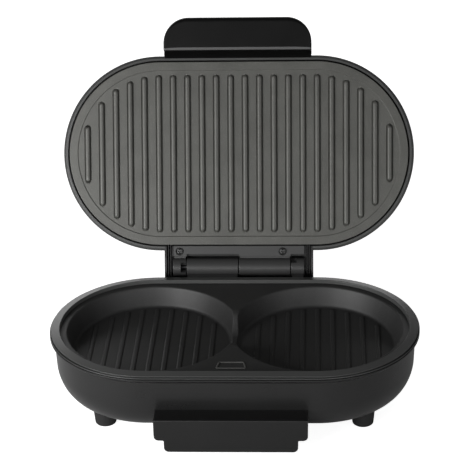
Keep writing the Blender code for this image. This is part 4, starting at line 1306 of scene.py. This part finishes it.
    def pad(self) -> list[tuple]:
        """Gives the changes that raise a trapezoid bead in the front cusp and sink its middle.

        Returns:
            Pairs of a Cut and a Shape.
        """
        back, front, corner = self.pad_back_width / 2, self.pad_front_width / 2, self.pad_corner
        outer = rounded([
            (-back, -self.pad_back, corner),
            (back, -self.pad_back, corner),
            (front, -self.pad_front, corner),
            (-front, -self.pad_front, corner),
        ], 4)
        low, high = self.plateau - self.pad_rise, self.plateau + self.pad_rise
        bead = slab(outer, Axis.Z, low - self.pad_rise, high, self.pad_rise * self.pad_round)
        sunk = slab(shrunk(outer, self.pad_bead), Axis.Z, low + self.pad_rise / 2, OVERRUN)
        return [(Cut.JOIN, bead), (Cut.REMOVE, sunk)]

    def make(self) -> None:
        """Makes the plate."""
        half = self.half()
        mesh = shaped(half + half.mirrored(), *self.pad())
        plate = self.fitter.fit("pan_plate", mesh, Body.BASE, "lower_coating", PAN_COAT, "lower_plate")
        # The bead's lighter coating is a painted highlight.
        self.fitter.accent(plate, Body.BASE, PAD_HIGHLIGHT_COAT, self.on_bead)

    def on_bead(self, places: np.ndarray) -> np.ndarray:
        """Tells which places lie on the pad's bead, the only part above the plateau.

        Args:
            places: Places by three, in the working frame.

        Returns:
            True for each place on the bead.
        """
        return places[:, 2] > self.plateau + SEAM / 3


@dataclass
class Base:
    """The base: bowl, rim, front grip, hinge bracket, feet and what lies inside."""

    outline: Outline
    fitter: Fitter
    flange_top: float = -0.0034
    flange: float = 0.0014
    groove: float = 0.0001
    undercut: float = 0.0030
    shoulder: float = 0.0285
    bottom: float = 0.0565
    corner: float = 0.0213
    shelf_half: float = 0.0660
    shelf_back: float = 0.1125
    shelf_root: float = 0.0500
    shelf_round: float = 0.0080
    shelf_bevel: float = 0.0040
    ridge: float = 0.0010
    sole: float = -0.0703
    bevel_round: tuple = ((1, 0), (0.55, 0.12), (0.12, 0.55), (0, 1))
    plate_edge: float = 0.0024
    ledge_width: float = 0.0020
    bush_place: tuple = (0.038, -0.036)
    bush_hole: float = 0.0058
    grip_span: tuple = (-0.0980, -0.0660)
    front_foot: tuple = (0.108, -0.042)
    rear_foot: tuple = (0.05, 0.0970)

    def wall_line(self, grow: float = 0.0) -> list[tuple]:
        """Gives the bowl's outside from its flange to its bottom's edge.

        Args:
            grow: Gap by which it is larger.

        Returns:
            Corners as (radius, height, rounding).
        """
        edge = self.outline.radius + grow
        wall = self.outline.wall_radius + grow
        low = self.flange_top - self.flange
        line = [
            (edge - 0.0019, self.flange_top, 0),
            (edge - 0.0013, self.flange_top + self.groove, 0),
            (edge, self.flange_top + self.groove, 0.0003),
            (edge, low, 0.0004),
            (wall, low - self.undercut, 0.0008),
        ]
        corner = corner_sweep(wall - self.outline.draft, self.corner, -self.shoulder, -self.bottom - grow, 14)
        return line + [(r, z, 0) for r, z in corner]

    def bowl(self, grow: float = 0.0) -> Shape:
        """Works out the bowl's outside as a closed solid."""
        line = [(0, self.flange_top, 0), *self.wall_line(grow), (0, -self.bottom - grow, 0)]
        return sweep(rounded(line, 3, closed=False), self.outline.straight)

    def hollow(self) -> Shape:
        """Works out the bowl's inside with the ledge that carries the plate.

        Returns:
            The cutter.
        """
        inner, draft = self.outline.inner_radius, self.outline.draft
        ledge, seat = self.flange_top - self.plate_edge - SEAM, inner - self.ledge_width
        line = [(0, OVERRUN), (inner, OVERRUN), (inner, ledge), (seat, ledge), (seat, ledge - 0.001)]
        line += [(inner - draft, ledge - 0.003)]
        low = -self.bottom + self.outline.wall
        line += corner_sweep(inner - draft, self.corner, -self.shoulder, low)
        return sweep(np.array([*line, (0, low)]), self.outline.straight)

    def shelf_ring(self, inset: float, draw_in: float, z: float) -> np.ndarray:
        """Works out one level ring of the hinge shelf.

        Args:
            inset: Gap to the shelf's outside.
            draw_in: How far a bevel or rounding draws it in.
            z: Its height.

        Returns:
            Its points.
        """
        half, back = self.shelf_half - inset - draw_in, self.shelf_back - inset - draw_in
        corner = self.shelf_round - inset - draw_in
        outline = rounded([
            (-half, self.shelf_root, 0),
            (half, self.shelf_root, 0),
            (half, back, corner),
            (-half, back, corner),
        ], 10)
        return placed(outline, Axis.Z, z)

    def shelf(self, inset: float, top: float, edge: float = 0.0) -> Shape:
        """Works out the hinge shelf's body with its bevelled bottom and rounded top edge.

        Args:
            inset: Gap to the shelf's outside.
            top: Height of its top.
            edge: Radius of its top edge.

        Returns:
            The closed shape.
        """
        low, bevel = -self.bottom + inset, self.shelf_bevel - inset * 0.5
        levels = [(bevel * share, low + bevel * rise) for share, rise in self.bevel_round]
        angles = np.linspace(0, math.pi / 2, 5) if edge else [0.0]
        levels += [(edge * (1 - math.cos(a)), top - edge * (1 - math.sin(a))) for a in angles]
        return ring_grid(np.stack([self.shelf_ring(inset, *level) for level in levels]))

    def make_shell(self) -> None:
        """Makes the bowl with its hinge shelf, hollow, with the bush's and the screws' holes."""
        wall, top, back = self.outline.wall, self.outline.shelf_top, self.shelf_back
        changes = [
            (Cut.JOIN, self.shelf(0.0, top, 0.0008)),
            (Cut.REMOVE, self.hollow()),
            (Cut.REMOVE, self.shelf(wall, top - wall)),
            (Cut.REMOVE, rod(self.bush_hole, Axis.Y, back - wall - OVERRUN, back + OVERRUN, self.bush_place)),
        ]
        for place in self.outline.base_screws:
            span = top - wall - OVERRUN, top + OVERRUN
            changes.append((Cut.REMOVE, rod(self.outline.screw_hole, Axis.Z, *span, place, steps=10)))
        mesh = shaped(self.bowl(), *changes)
        self.fitter.fit("lower_shell", mesh, Body.BASE, "housing", HOUSING, "lower_housing")

    def make_rim(self) -> None:
        """Makes the bezel ring.

        Its face rises inwards to a crest that laps over the plate's edge, and outside it an
        undercut groove, a thin lip and a second groove follow.
        """
        edge, inner = self.outline.radius, self.outline.rim_inner
        line = [
            (edge - 0.0022, -0.0033, 0),
            (edge - 0.0022, -0.0025, 0.0001),
            (edge, -0.0023, 0.0002),
            (edge, -0.0016, 0.0003),
            (edge - 0.0009, -0.0018, 0.0001),
            (edge - 0.0030, -0.0021, 0.0001),
            (edge - 0.0030, -0.0008, 0.0001),
            (edge - 0.0011, -0.0006, 0.0001),
            (edge - 0.0011, -0.0002, 0.0001),
            (inner - 0.0020, self.ridge, 0.0006),
            (inner - 0.0023, -0.0024, 0.0002),
            (inner, -0.0024, 0.0001),
            (inner, -0.0033, 0),
        ]
        ring = sweep(rounded(line, 6), self.outline.straight, closed=True)
        self.fitter.fit("rim_ring", ring, Body.BASE, "rim", RIM, "lower_rim")

    def make_grip(self) -> None:
        """Makes the stepped front grip, its back following the bowl."""
        corners = []
        for side in (-1, 1):
            run = [
                (side * 0.0625, -0.0340, 0.0012),
                (side * 0.0625, -0.0536, 0.0040),
                (side * 0.0545, -0.0536, 0.0012),
                (side * 0.0545, -0.0644, 0.0040),
            ]
            corners += run if side < 0 else run[::-1]
        body = slab(rounded(corners, 6), Axis.Y, *self.grip_span, 0.0011)
        mesh = shaped(body, (Cut.REMOVE, self.bowl(SEAM)))
        self.fitter.fit("lower_grip", mesh, Body.BASE, "grip", GRIP, "lower_handle")

    def make_feet(self) -> None:
        """Makes the four rubber feet, the front ones trimmed by the bowl."""
        sole = [(0, self.sole, 0), (0.0088, self.sole, 0.0014)]
        high, low = -0.0485, -self.bottom - SEAM
        tall = [*sole, (0.0100, -self.bottom, 0), (0.0100, high, 0), (0, high, 0)]
        short = [*sole, (0.00997, low, 0), (0, low, 0)]
        for side, word in ((-1, "left"), (1, "right")):
            for end, line, (x, y) in (("front", tall, self.front_foot), ("rear", short, self.rear_foot)):
                foot = sweep(rounded(line, 6, closed=False), centre=(side * x, y), steps=28)
                made = shaped(foot, (Cut.REMOVE, self.bowl(SEAM))) if end == "front" else foot
                self.fitter.fit(f"{end}_{word}_pad", made, Body.BASE, "rubber", RUBBER, f"{end}_{word}_foot")

    def make_bush(self) -> None:
        """Makes the cord's bush with its rolled flange and bore."""
        back = self.shelf_back + SEAM
        line = [
            (0.0034, back - 0.007, 0),
            (0.0055, back - 0.007, 0.0005),
            (0.0055, back, 0),
            (0.0075, back, 0.0003),
            (0.0075, back + 0.002, 0.0009),
            (0.0034, back + 0.002, 0.0008),
        ]
        bush = turned(rounded(line, 4), Axis.Y, self.bush_place, 28, closed=True)
        self.fitter.fit("cord_bush", bush, Body.BASE, "rubber", RUBBER, "cord_gland")

    def make(self) -> None:
        """Makes all of the base apart from the plate and the hinge."""
        self.make_shell()
        self.make_rim()
        self.make_grip()
        self.make_feet()
        self.make_bush()
        self.fitter.dress(SHEATH, "lower_heating_element")
        self.fitter.dress(BRIGHT_SHEET, "lower_reflector")
        self.fitter.dress(PLATED, "lower_thermostat")
        self.fitter.dress(CERAMIC, "terminal_block")


@dataclass
class Hinge:
    """The hinge: both brackets with their interleaved barrels, the pin and the four screws."""

    outline: Outline
    fitter: Fitter
    head_radius: float = 0.0028
    head_height: float = 0.0016
    head_play: float = 0.0009
    shank_radius: float = 0.0015
    screw_length: float = 0.0070
    sink: float = 0.0008
    notch_width: float = 0.0052
    recess: float = 0.0023
    bar_gap: float = 0.0005

    def barrels(self, mirror: int) -> list[tuple]:
        """Gives the spans of a bracket's long and short barrel.

        Args:
            mirror: 1 for the base's, -1 for the lid's, which are mirrored.

        Returns:
            The two spans as (low, high).
        """
        gap = self.outline.knuckle_gap / 2
        long, end = self.outline.knuckle_long, self.outline.bracket_half
        spans = ((-long + gap, -gap), (long + gap, end))
        return [tuple(sorted((mirror * low, mirror * high))) for low, high in spans]

    def axis_rod(self, radius: float, low: float, high: float, edge: float = 0.0) -> Shape:
        """Makes a rod on the hinge's axis."""
        centre = (self.outline.hinge_back, self.outline.hinge_lift)
        return rod(radius, Axis.X, low, high, centre, edge, 24)

    def window(self, mirror: int, up: tuple, forward: tuple, span: tuple) -> Shape:
        """Works out the cutter of the window in the short barrel, out from the pin.

        Args:
            mirror: 1 for the base's barrel, -1 for the lid's.
            up: Direction of the window's height, y and z.
            forward: Direction out of the barrel, y and z.
            span: Lower and upper end along up, from the pin's axis.

        Returns:
            The cutter.
        """
        start = mirror * self.outline.knuckle_long
        low, high = sorted((start, start + mirror * self.notch_width))
        near, far = self.outline.pin / 2, self.outline.barrel + OVERRUN
        corners = np.array([(near, span[0]), (far, span[0]), (far, span[1]), (near, span[1])])
        flat = corners[:, :1] * np.array(forward) + corners[:, 1:] * np.array(up)
        flat += (self.outline.hinge_back, self.outline.hinge_lift)
        return slab(flat, Axis.X, low, high)

    @property
    def bar_top(self) -> float:
        """Height of the top of the base bracket's bar."""
        return self.outline.hinge_lift - self.outline.barrel - self.bar_gap

    def seats(self, places: tuple, face: float, into: int) -> list[tuple]:
        """Gives the cutters of the screws' counterbores and holes.

        Args:
            places: The screws' places, x and y.
            face: Height of the face they go into.
            into: -1 where they go down, 1 where they go up.

        Returns:
            Pairs of a Cut and a Shape.
        """
        seat = face + into * (self.head_height + self.sink + SEAM)
        deep = face + into * (self.screw_length + OVERRUN)
        made = []
        for place in places:
            head = sorted((face - into * OVERRUN, seat))
            shank = sorted((face, deep))
            made.append((Cut.REMOVE, rod(self.head_radius + self.head_play, Axis.Z, *head, place, steps=20)))
            made.append((Cut.REMOVE, rod(self.shank_radius + SEAM, Axis.Z, *shank, place, steps=12)))
        return made

    def make_base_bracket(self) -> None:
        """Makes the base's bracket: a bar on the shelf with arms up to its barrels."""
        back, lift, barrel = self.outline.hinge_back, self.outline.hinge_lift, self.outline.barrel
        half, top = self.outline.bracket_half, self.bar_top
        foot = self.outline.shelf_top + SEAM
        bar = block((-half, back - 0.0156, foot), (half, back - 0.0068, top), 0.0006)
        inside = math.sqrt((barrel - 0.0008) ** 2 - 0.0035**2)
        arm = rounded([
            (back - 0.014, top - 0.0007, 0),
            (back - 0.0068, top - 0.0007, 0),
            (back - 0.0035, lift - inside, 0),
            (back - 0.0035, lift - 0.0035, 0),
            (back - 0.014, lift - 0.0035, 0.0012),
        ], 5)
        changes = []
        for low, high in self.barrels(1):
            changes.append((Cut.JOIN, slab(arm, Axis.X, low + 0.0008, high - 0.0008)))
            changes.append((Cut.JOIN, self.axis_rod(barrel, low, high, 0.0006)))
        changes.append((Cut.REMOVE, self.axis_rod(self.outline.pin + SEAM, -half - OVERRUN, half + OVERRUN)))
        slant = math.sqrt(0.5)
        changes.append((Cut.REMOVE, self.window(1, (slant, slant), (-slant, slant), (0.0012, 0.0072))))
        changes += self.seats(self.outline.base_screws, top, -1)
        mesh = shaped(bar, *changes)
        self.fitter.fit("base_knuckles", mesh, Body.BASE, "hinge", HINGE, "base_hinge_bracket")

    def make_lid_bracket(self) -> None:
        """Makes the lid's bracket: a plate in the lid's rim with arms to its barrels."""
        back, barrel, gap = self.outline.hinge_back, self.outline.barrel, self.outline.lid_gap
        half = self.outline.bracket_half
        top = gap + 0.0032
        plate = block((-half, back - 0.0190, gap), (half, back - 0.0093, top), 0.0005)
        root = back - self.outline.pin - barrel / 4
        near, low_face, high_face = back - 0.014, gap + 0.0004, top - 0.0004
        arm = np.array([(near, low_face), (root, low_face), (root, high_face), (near, high_face)])
        changes = []
        for low, high in self.barrels(1):
            start = low - OVERRUN / 4, back - 0.0093 - self.recess, gap - OVERRUN
            changes.append((Cut.REMOVE, block(start, (high + OVERRUN / 4, back, top + OVERRUN))))
        for low, high in self.barrels(-1):
            changes.append((Cut.JOIN, slab(arm, Axis.X, low + 0.0008, high - 0.0008)))
            changes.append((Cut.JOIN, self.axis_rod(barrel, low, high, 0.0006)))
        changes.append((Cut.REMOVE, self.axis_rod(self.outline.pin + SEAM, -half - OVERRUN, half + OVERRUN)))
        sine, cosine = math.sin(self.outline.open_angle), math.cos(self.outline.open_angle)
        changes.append((Cut.REMOVE, self.window(-1, (-sine, cosine), (-cosine, -sine), (-0.0016, 0.0066))))
        changes += self.seats(self.outline.lid_screws, gap, 1)
        mesh = shaped(plate, *changes)
        self.fitter.fit("lid_knuckles", mesh, Body.LID, "hinge", HINGE, "lid_hinge_bracket")

    def screw(self, place: tuple, face: float, into: int) -> bpy.types.Mesh:
        """Works out a screw with a domed head and a cross recess.

        Args:
            place: Its place, x and y.
            face: Height of the face it goes into.
            into: -1 where it goes down, 1 where it goes up.

        Returns:
            Its mesh.
        """
        head = face + into * self.sink
        under = head + into * self.head_height
        line = [
            (0, head, 0),
            (self.head_radius * 0.6, head, 0.001),
            (self.head_radius, head + into * 0.0005, 0.0003),
            (self.head_radius, under, 0.0002),
            (self.shank_radius, under, 0),
            (self.shank_radius, face + into * self.screw_length, 0.0004),
            (0, face + into * self.screw_length, 0),
        ]
        body = sweep(rounded(line, 4, closed=False), centre=place, steps=18)
        low, high = sorted((head - into * OVERRUN, head + into * 0.0022))
        arms = []
        for long, short in ((0.0021, 0.0006), (0.0006, 0.0021)):
            corners = (place[0] - long, place[1] - short, low), (place[0] + long, place[1] + short, high)
            arms.append((Cut.REMOVE, block(*corners)))
        return shaped(body, *arms)

    def make(self) -> None:
        """Makes the hinge."""
        self.make_base_bracket()
        self.make_lid_bracket()
        half = self.outline.bracket_half
        pin = self.axis_rod(self.outline.pin, -half, half, 0.0005)
        self.fitter.fit("hinge_rod", pin, Body.BASE, "pin", ZINC, "hinge_pin")
        rows = (
            (Body.BASE, self.outline.base_screws, self.bar_top, -1),
            (Body.LID, self.outline.lid_screws, self.outline.lid_gap, 1),
        )
        for body, places, face, into in rows:
            for word, place in zip(("left", "right"), places):
                screw = self.screw(place, face, into)
                name, node = f"{body.value}_{word}_screw", f"{body.value}_screw_{word}"
                self.fitter.fit(name, screw, body, "screw", DARK_STEEL, node)


@dataclass
class Lid:
    """The lid: dome with its hood, ribbed plate, grip, lenses and what lies inside."""

    outline: Outline
    fitter: Fitter
    flange: float = 0.0050
    undercut: float = 0.0030
    shoulder: float = 0.0160
    top: float = 0.0285
    corner: float = 0.0260
    rim_width: float = 0.0038
    rim_depth: float = 0.0046
    hood_reach: float = 0.0120
    hood_half: float = 0.0665
    hood_round: float = 0.0030
    hood_wall: float = 0.0020
    hood_root: float = 0.0220
    field_height: float = 0.0018
    face_height: float = 0.0012
    plate_top: float = 0.0042
    plate_inset: float = 0.0052
    field_inset: float = 0.0130
    rib_inset: float = 0.0170
    plate_field: float = 0.0150
    lens_place: tuple = (0.010, -0.0440)
    web_places: tuple = (0.0018, 0.0038)
    web_width: float = 0.0006
    grip_back: float = -0.0869
    grip_front: float = -0.1205
    grip_neck: float = -0.0927
    grip_half: float = 0.0655
    grip_corner: float = 0.0220
    grip_edge: float = 0.0014
    ridge_width: float = 0.0014
    ridge_low: float = -0.0042

    def dome(self) -> Shape:
        """Works out the dome's outside as a closed solid.

        Returns:
            The solid.
        """
        gap, wall = self.outline.lid_gap, self.outline.wall_radius
        high = gap + self.flange
        line = [
            (0, gap, 0),
            (self.outline.radius - 0.0021, gap, 0.0004),
            (self.outline.radius, gap + 0.0017, 0.0006),
            (self.outline.radius, high, 0.0010),
            (wall, high + self.undercut, 0.0010),
        ]
        corner = corner_sweep(wall - self.outline.draft, self.corner, self.shoulder, self.top, 16)
        line += [(r, z, 0) for r, z in corner]
        return sweep(rounded([*line, (0, self.top, 0)], 4, closed=False), self.outline.straight)

    def hollow(self) -> Shape:
        """Works out the dome's inside with the seat of the plate.

        Returns:
            The cutter.
        """
        gap, inner = self.outline.lid_gap, self.outline.inner_radius - self.outline.draft
        seat, deep = self.outline.radius - self.rim_width, gap + self.rim_depth
        line = [(0, gap - OVERRUN), (seat, gap - OVERRUN), (seat, deep), (inner, deep + 0.0007)]
        line += corner_sweep(inner, self.corner, self.shoulder, self.top - self.outline.wall)
        return sweep(np.array([*line, (0, self.top - self.outline.wall)]), self.outline.straight)

    def make_shell(self) -> None:
        """Makes the dome with the hood over the hinge, hollow, with its pockets and holes."""
        back, lift, gap = self.outline.hinge_back, self.outline.hinge_lift, self.outline.lid_gap
        reach, wall = self.hood_reach, self.hood_wall
        high = lift + reach
        hood = rounded([
            (back - self.hood_root, gap, 0),
            (back - self.outline.barrel, gap, 0.0004),
            (back + reach, lift + 0.0005, 0.0005),
            (back + reach, high, self.hood_round),
            (back - self.hood_root, high, 0),
        ], 8)
        inner = rounded([
            (back - 0.0098, gap - OVERRUN, 0),
            (back + reach - wall, gap - OVERRUN, 0),
            (back + reach - wall, high - wall, 0.001),
            (back - 0.0098, high - wall, 0),
        ])
        bracket = self.outline.bracket_half + SEAM
        pocket = block((-bracket, back - 0.0193, gap - OVERRUN), (bracket, back - 0.0078, gap + 0.0035))
        changes = [
            (Cut.JOIN, slab(hood, Axis.X, -self.hood_half, self.hood_half, 0.0004)),
            (Cut.REMOVE, self.hollow()),
            (Cut.REMOVE, slab(inner, Axis.X, -self.hood_half + wall, self.hood_half - wall)),
            (Cut.REMOVE, pocket),
        ]
        for side in (-1, 1):
            near, far = sorted((side * (bracket + 0.0008), side * (self.hood_half - wall)))
            slot = block((near, back - 0.0192, gap - OVERRUN), (far, back, high - wall))
            changes.append((Cut.REMOVE, slot))
            for place in self.web_places:
                near, far = sorted((side * (bracket + place), side * (bracket + place + self.web_width)))
                end = far, back + reach - wall / 2, high - wall / 2
                changes.append((Cut.JOIN, block((near, back - 0.0196, gap + 0.0004), end)))
        for place in self.outline.lid_screws:
            hole = rod(self.outline.screw_hole, Axis.Z, gap, gap + 0.0073, place, steps=12)
            changes.append((Cut.REMOVE, hole))
        x, y = self.lens_place
        for side in (-1, 1):
            drill = rod(0.0043, Axis.Z, self.top - 0.0042, self.top + OVERRUN, (side * x, y), steps=20)
            changes.append((Cut.REMOVE, drill))
        mesh = shaped(self.dome(), *changes)
        shell = self.fitter.fit("upper_shell", mesh, Body.LID, "housing", HOUSING, "upper_housing")
        self.fitter.accent(shell, Body.LID, RIM, self.on_rim)

    def on_rim(self, places: np.ndarray) -> np.ndarray:
        """Tells which places lie on the dome's grey rim, which stops at the hood.

        Args:
            places: Places by three, in the working frame.

        Returns:
            True for each place on the rim.
        """
        x, y, z = places.T
        past = np.hypot(np.maximum(np.abs(x) - self.outline.straight, 0), y)
        open_side = (np.abs(x) > self.hood_half) | (y < 0)
        outside = past > self.outline.radius - self.rim_width - SEAM
        return open_side & outside & (z < self.outline.lid_gap + self.flange + SEAM)

    def make_plate(self) -> None:
        """Makes the ribbed plate: field with hanging ribs, step, face, edge and flat back."""
        radius, straight = self.outline.radius, self.outline.straight
        pattern = RibPattern(0.0, straight, radius - self.rib_inset, 0.0025, 0.0046, 0.0024, 0.0009)
        field_part = Field(0.0, straight, radius - self.plate_field, pattern, (), 110, 100)
        shape = field_part.floor(self.field_height, -1)
        foot, normals = field_part.edge()
        step, edge = radius - self.field_inset, radius - self.plate_inset
        section = rounded([
            (radius - self.plate_field, self.field_height, 0),
            (step, self.field_height, 0.0003),
            (step + 0.0006, self.face_height, 0.0003),
            (edge, self.face_height, 0.0004),
            (edge, self.plate_top, 0.0003),
            (0, self.plate_top, 0),
        ], 4, closed=False)
        shape += carried(foot, normals, section)
        self.fitter.fit("rib_plate", shape, Body.LID, "upper_coating", LID_COAT, "upper_plate")

    def make_grip(self) -> None:
        """Makes the front grip.

        Its side profile is carried along X. Towards the ends the part in front of the neck is
        drawn back on the plan's round corners, by r - sqrt(r ** 2 - past ** 2), and the last
        sections are drawn in to round the end faces.
        """
        back, front, neck = self.grip_back, self.grip_front, self.grip_neck
        half, corner, edge = self.grip_half, self.grip_corner, self.grip_edge
        profile = rounded([
            (-0.0847, 0.0006, 0),
            (back, 0.0024, 0),
            (back, 0.0110, 0.0012),
            (front, 0.0080, 0.0042),
            (front, -0.0050, 0.0042),
            (neck - 0.0013, -0.0050, 0.0004),
            (neck + 0.0010, -0.0046, 0.0003),
            (neck + 0.0014, -0.0018, 0.0003),
        ], 8)
        notch = [(neck + 0.0013, -0.0080), (-0.0846, -0.0080), (-0.0846, 0.0005), (neck + 0.0016, 0.0034)]
        middle = np.concatenate([
            half - corner + (corner - edge) * np.sin(np.linspace(math.pi / 2, 0, 28)),
            np.linspace(half - corner, -half + corner, 12)[1:-1],
            -half + corner - (corner - edge) * np.sin(np.linspace(0, math.pi / 2, 28)),
        ])
        turns = np.linspace(0, math.pi / 2, 6)[1:]
        caps, insets = half - edge + edge * np.sin(turns), edge * (1 - np.cos(turns))
        along = np.concatenate([caps[::-1], middle, -caps])
        depth = np.concatenate([insets[::-1], 0 * middle, insets])
        past = np.maximum(np.abs(along) - half + corner, 0)
        drawn = corner - np.sqrt(np.maximum(corner**2 - past**2, 0))
        rings = []
        for x, pull, inset in zip(along, drawn, depth):
            flat = shrunk(profile, inset) if inset > 0 else profile.copy()
            share = np.clip((neck - flat[:, 0]) / (neck - front), 0, 1)
            flat[:, 0] += pull * share
            rings.append(placed(flat, Axis.X, x))
        groove = slab(np.array(notch), Axis.X, -half - OVERRUN, half + OVERRUN)
        mesh = shaped(ring_grid(np.stack(rings)), (Cut.REMOVE, groove))
        grip = self.fitter.fit("lid_grip", mesh, Body.LID, "grip", LID_GRIP, "upper_handle")
        # The ridge's lighter finish is a painted highlight.
        self.fitter.accent(grip, Body.LID, GRIP_RIDGE_HIGHLIGHT, self.on_highlit_ridge)

    def on_highlit_ridge(self, places: np.ndarray) -> np.ndarray:
        """Tells which places, in the working frame, lie on the grip's ridge, whose lighter finish is a
        painted highlight.
        """
        return (places[:, 1] > self.grip_neck - self.ridge_width) & (places[:, 2] < self.ridge_low)

    def make_lenses(self) -> None:
        """Makes the two indicator lenses, collared below the dome's top."""
        under = self.top - self.outline.wall - SEAM
        line = [
            (0, under - 0.001, 0),
            (0.0048, under - 0.001, 0.0003),
            (0.0048, under, 0),
            (0.0040, under, 0),
            (0.0040, self.top + 0.0002, 0.0006),
            (0.0012, self.top + 0.001, 0.003),
            (0, self.top + 0.001, 0),
        ]
        section = rounded(line, 6, closed=False)
        x, y = self.lens_place
        for side, name, finish in ((-1, "power", RED_LENS), (1, "ready", GREEN_LENS)):
            lens = sweep(section, centre=(side * x, y), steps=24)
            self.fitter.fit(f"{name}_lamp", lens, Body.LID, finish.name, finish, f"{name}_lens")

    def make(self) -> None:
        """Makes all of the lid apart from its hinge bracket and screws."""
        self.make_shell()
        self.make_plate()
        self.make_grip()
        self.make_lenses()
        self.fitter.dress(SHEATH, "upper_heating_element")
        self.fitter.dress(BRIGHT_SHEET, "upper_reflector")
        self.fitter.dress(PLATED, "upper_thermostat")
        self.fitter.dress(CERAMIC, "thermal_fuse")


@dataclass
class Studio:
    """Floor, soft lights, white surroundings and the camera of the photograph."""

    camera_place: tuple = (0.0723, -1.357566, 0.8049)
    yaw: float = math.radians(-3.04)
    pitch: float = math.radians(26.35)
    roll: float = math.radians(-1.49)
    focal_pixels: float = 1781.0
    sensor: float = 36.0
    floor_half: float = 6.0
    floor_shades: tuple = ((0.80, 0.80, 0.80), (0.82, 0.82, 0.82))
    floor_glow: tuple = (0.88, 0.88, 0.88)
    world_light: float = 0.12
    lamps: list = field(default_factory=lambda: [
        ("key", (-0.62, -0.66, 0.30), (0.0, 0.05, 0.14), (0.6, 0.45), 8.4),
        ("fill", (0.60, -0.70, 0.26), (0.0, 0.0, 0.06), (0.6, 0.45), 1.0),
        ("front", (0.10, -1.5, 0.28), (0.0, 0.0, 0.10), (3.0, 0.35), 7.8),
        ("back", (-0.40, 1.3, 0.55), (0.0, 0.10, 0.15), (1.6, 0.5), 6.0),
    ])

    def make_camera(self) -> None:
        """Makes the camera from its angles: yaw about Z, pitch down and roll about the view."""
        data = bpy.data.cameras.new("view")
        data.sensor_width = self.sensor
        data.lens = self.focal_pixels * self.sensor / IMAGE_SIDE
        data.clip_start = 0.01
        camera = linked("view", data)
        ahead = Vector((
            math.sin(self.yaw) * math.cos(self.pitch),
            math.cos(self.yaw) * math.cos(self.pitch),
            -math.sin(self.pitch),
        ))
        level = Vector((math.cos(self.yaw), -math.sin(self.yaw), 0))
        upright = level.cross(ahead)
        across = level * math.cos(self.roll) + upright * math.sin(self.roll)
        up = upright * math.cos(self.roll) - level * math.sin(self.roll)
        turn = Matrix((across, up, -ahead)).transposed().to_4x4()
        camera.matrix_world = Matrix.Translation(self.camera_place) @ turn
        bpy.context.scene.camera = camera

    def make_floor(self) -> None:
        """Makes the pale floor, which glows only where the camera sees it straight."""
        side = self.floor_half
        mesh = bpy.data.meshes.new("floor")
        corners = [(-side, -side, 0), (side, -side, 0), (side, side, 0), (-side, side, 0)]
        mesh.from_pydata(corners, [], [(0, 1, 2, 3)])
        floor = linked("floor", mesh)
        palette = Palette("pale_floor")
        grain = palette.noise(0.4, 2.0)
        palette.set(Base_Color=palette.blend(grain, *self.floor_shades), Roughness=0.9)
        seen = palette.node("ShaderNodeLightPath")["Is Camera Ray"]
        palette.set(Emission_Color=palette.blend(seen, (0, 0, 0), self.floor_glow))
        palette.set(Specular_IOR_Level=0.0, Emission_Strength=1.0)
        mesh.materials.append(palette.material)

    def make_world(self) -> None:
        """Makes the surroundings, which are dimmer as light on the object.

        They are white where the camera sees them straight or through clear plastic.
        """
        world = bpy.data.worlds.new("surroundings")
        world.use_nodes = True
        bpy.context.scene.world = world
        nodes = Nodes(world.node_tree)
        ground = nodes.tree.nodes["Background"]
        nodes.feed(ground.inputs["Color"], WHITE)
        nodes.feed(ground.inputs["Strength"], self.world_light)
        white = nodes.node("ShaderNodeBackground", Color=WHITE)["Background"]
        path = nodes.node("ShaderNodeLightPath")
        seen = (path["Is Camera Ray"] + path["Is Transmission Ray"]).clamped()
        order = (seen, Signal(nodes.tree, ground.outputs[0]), white)
        mixed = nodes.node("ShaderNodeMixShader", ordered=order)["Shader"]
        nodes.feed(nodes.tree.nodes["World Output"].inputs["Surface"], mixed)

    def make_lamps(self) -> None:
        """Makes the soft area lamps, each aimed at its target."""
        for name, place, target, size, power in self.lamps:
            data = bpy.data.lights.new(name, "AREA")
            data.shape = "RECTANGLE"
            data.size, data.size_y = size
            data.energy = power
            aim = Vector(target) - Vector(place)
            turn = aim.to_track_quat("-Z", "Y").to_matrix().to_4x4()
            linked(name, data).matrix_world = Matrix.Translation(place) @ turn

    def make(self) -> None:
        """Makes the whole setting."""
        bpy.context.scene.view_settings.view_transform = "Standard"
        self.make_camera()
        self.make_floor()
        self.make_world()
        self.make_lamps()


def main() -> None:
    """Builds the object's pieces and the studio in order."""
    outline = Outline()
    fitter = Fitter(outline, Wardrobe())
    Studio().make()
    for assembly in (Base, LowerPlate, Hinge, Lid):
        assembly(outline, fitter).make()


if __name__ == "__main__":
    main()
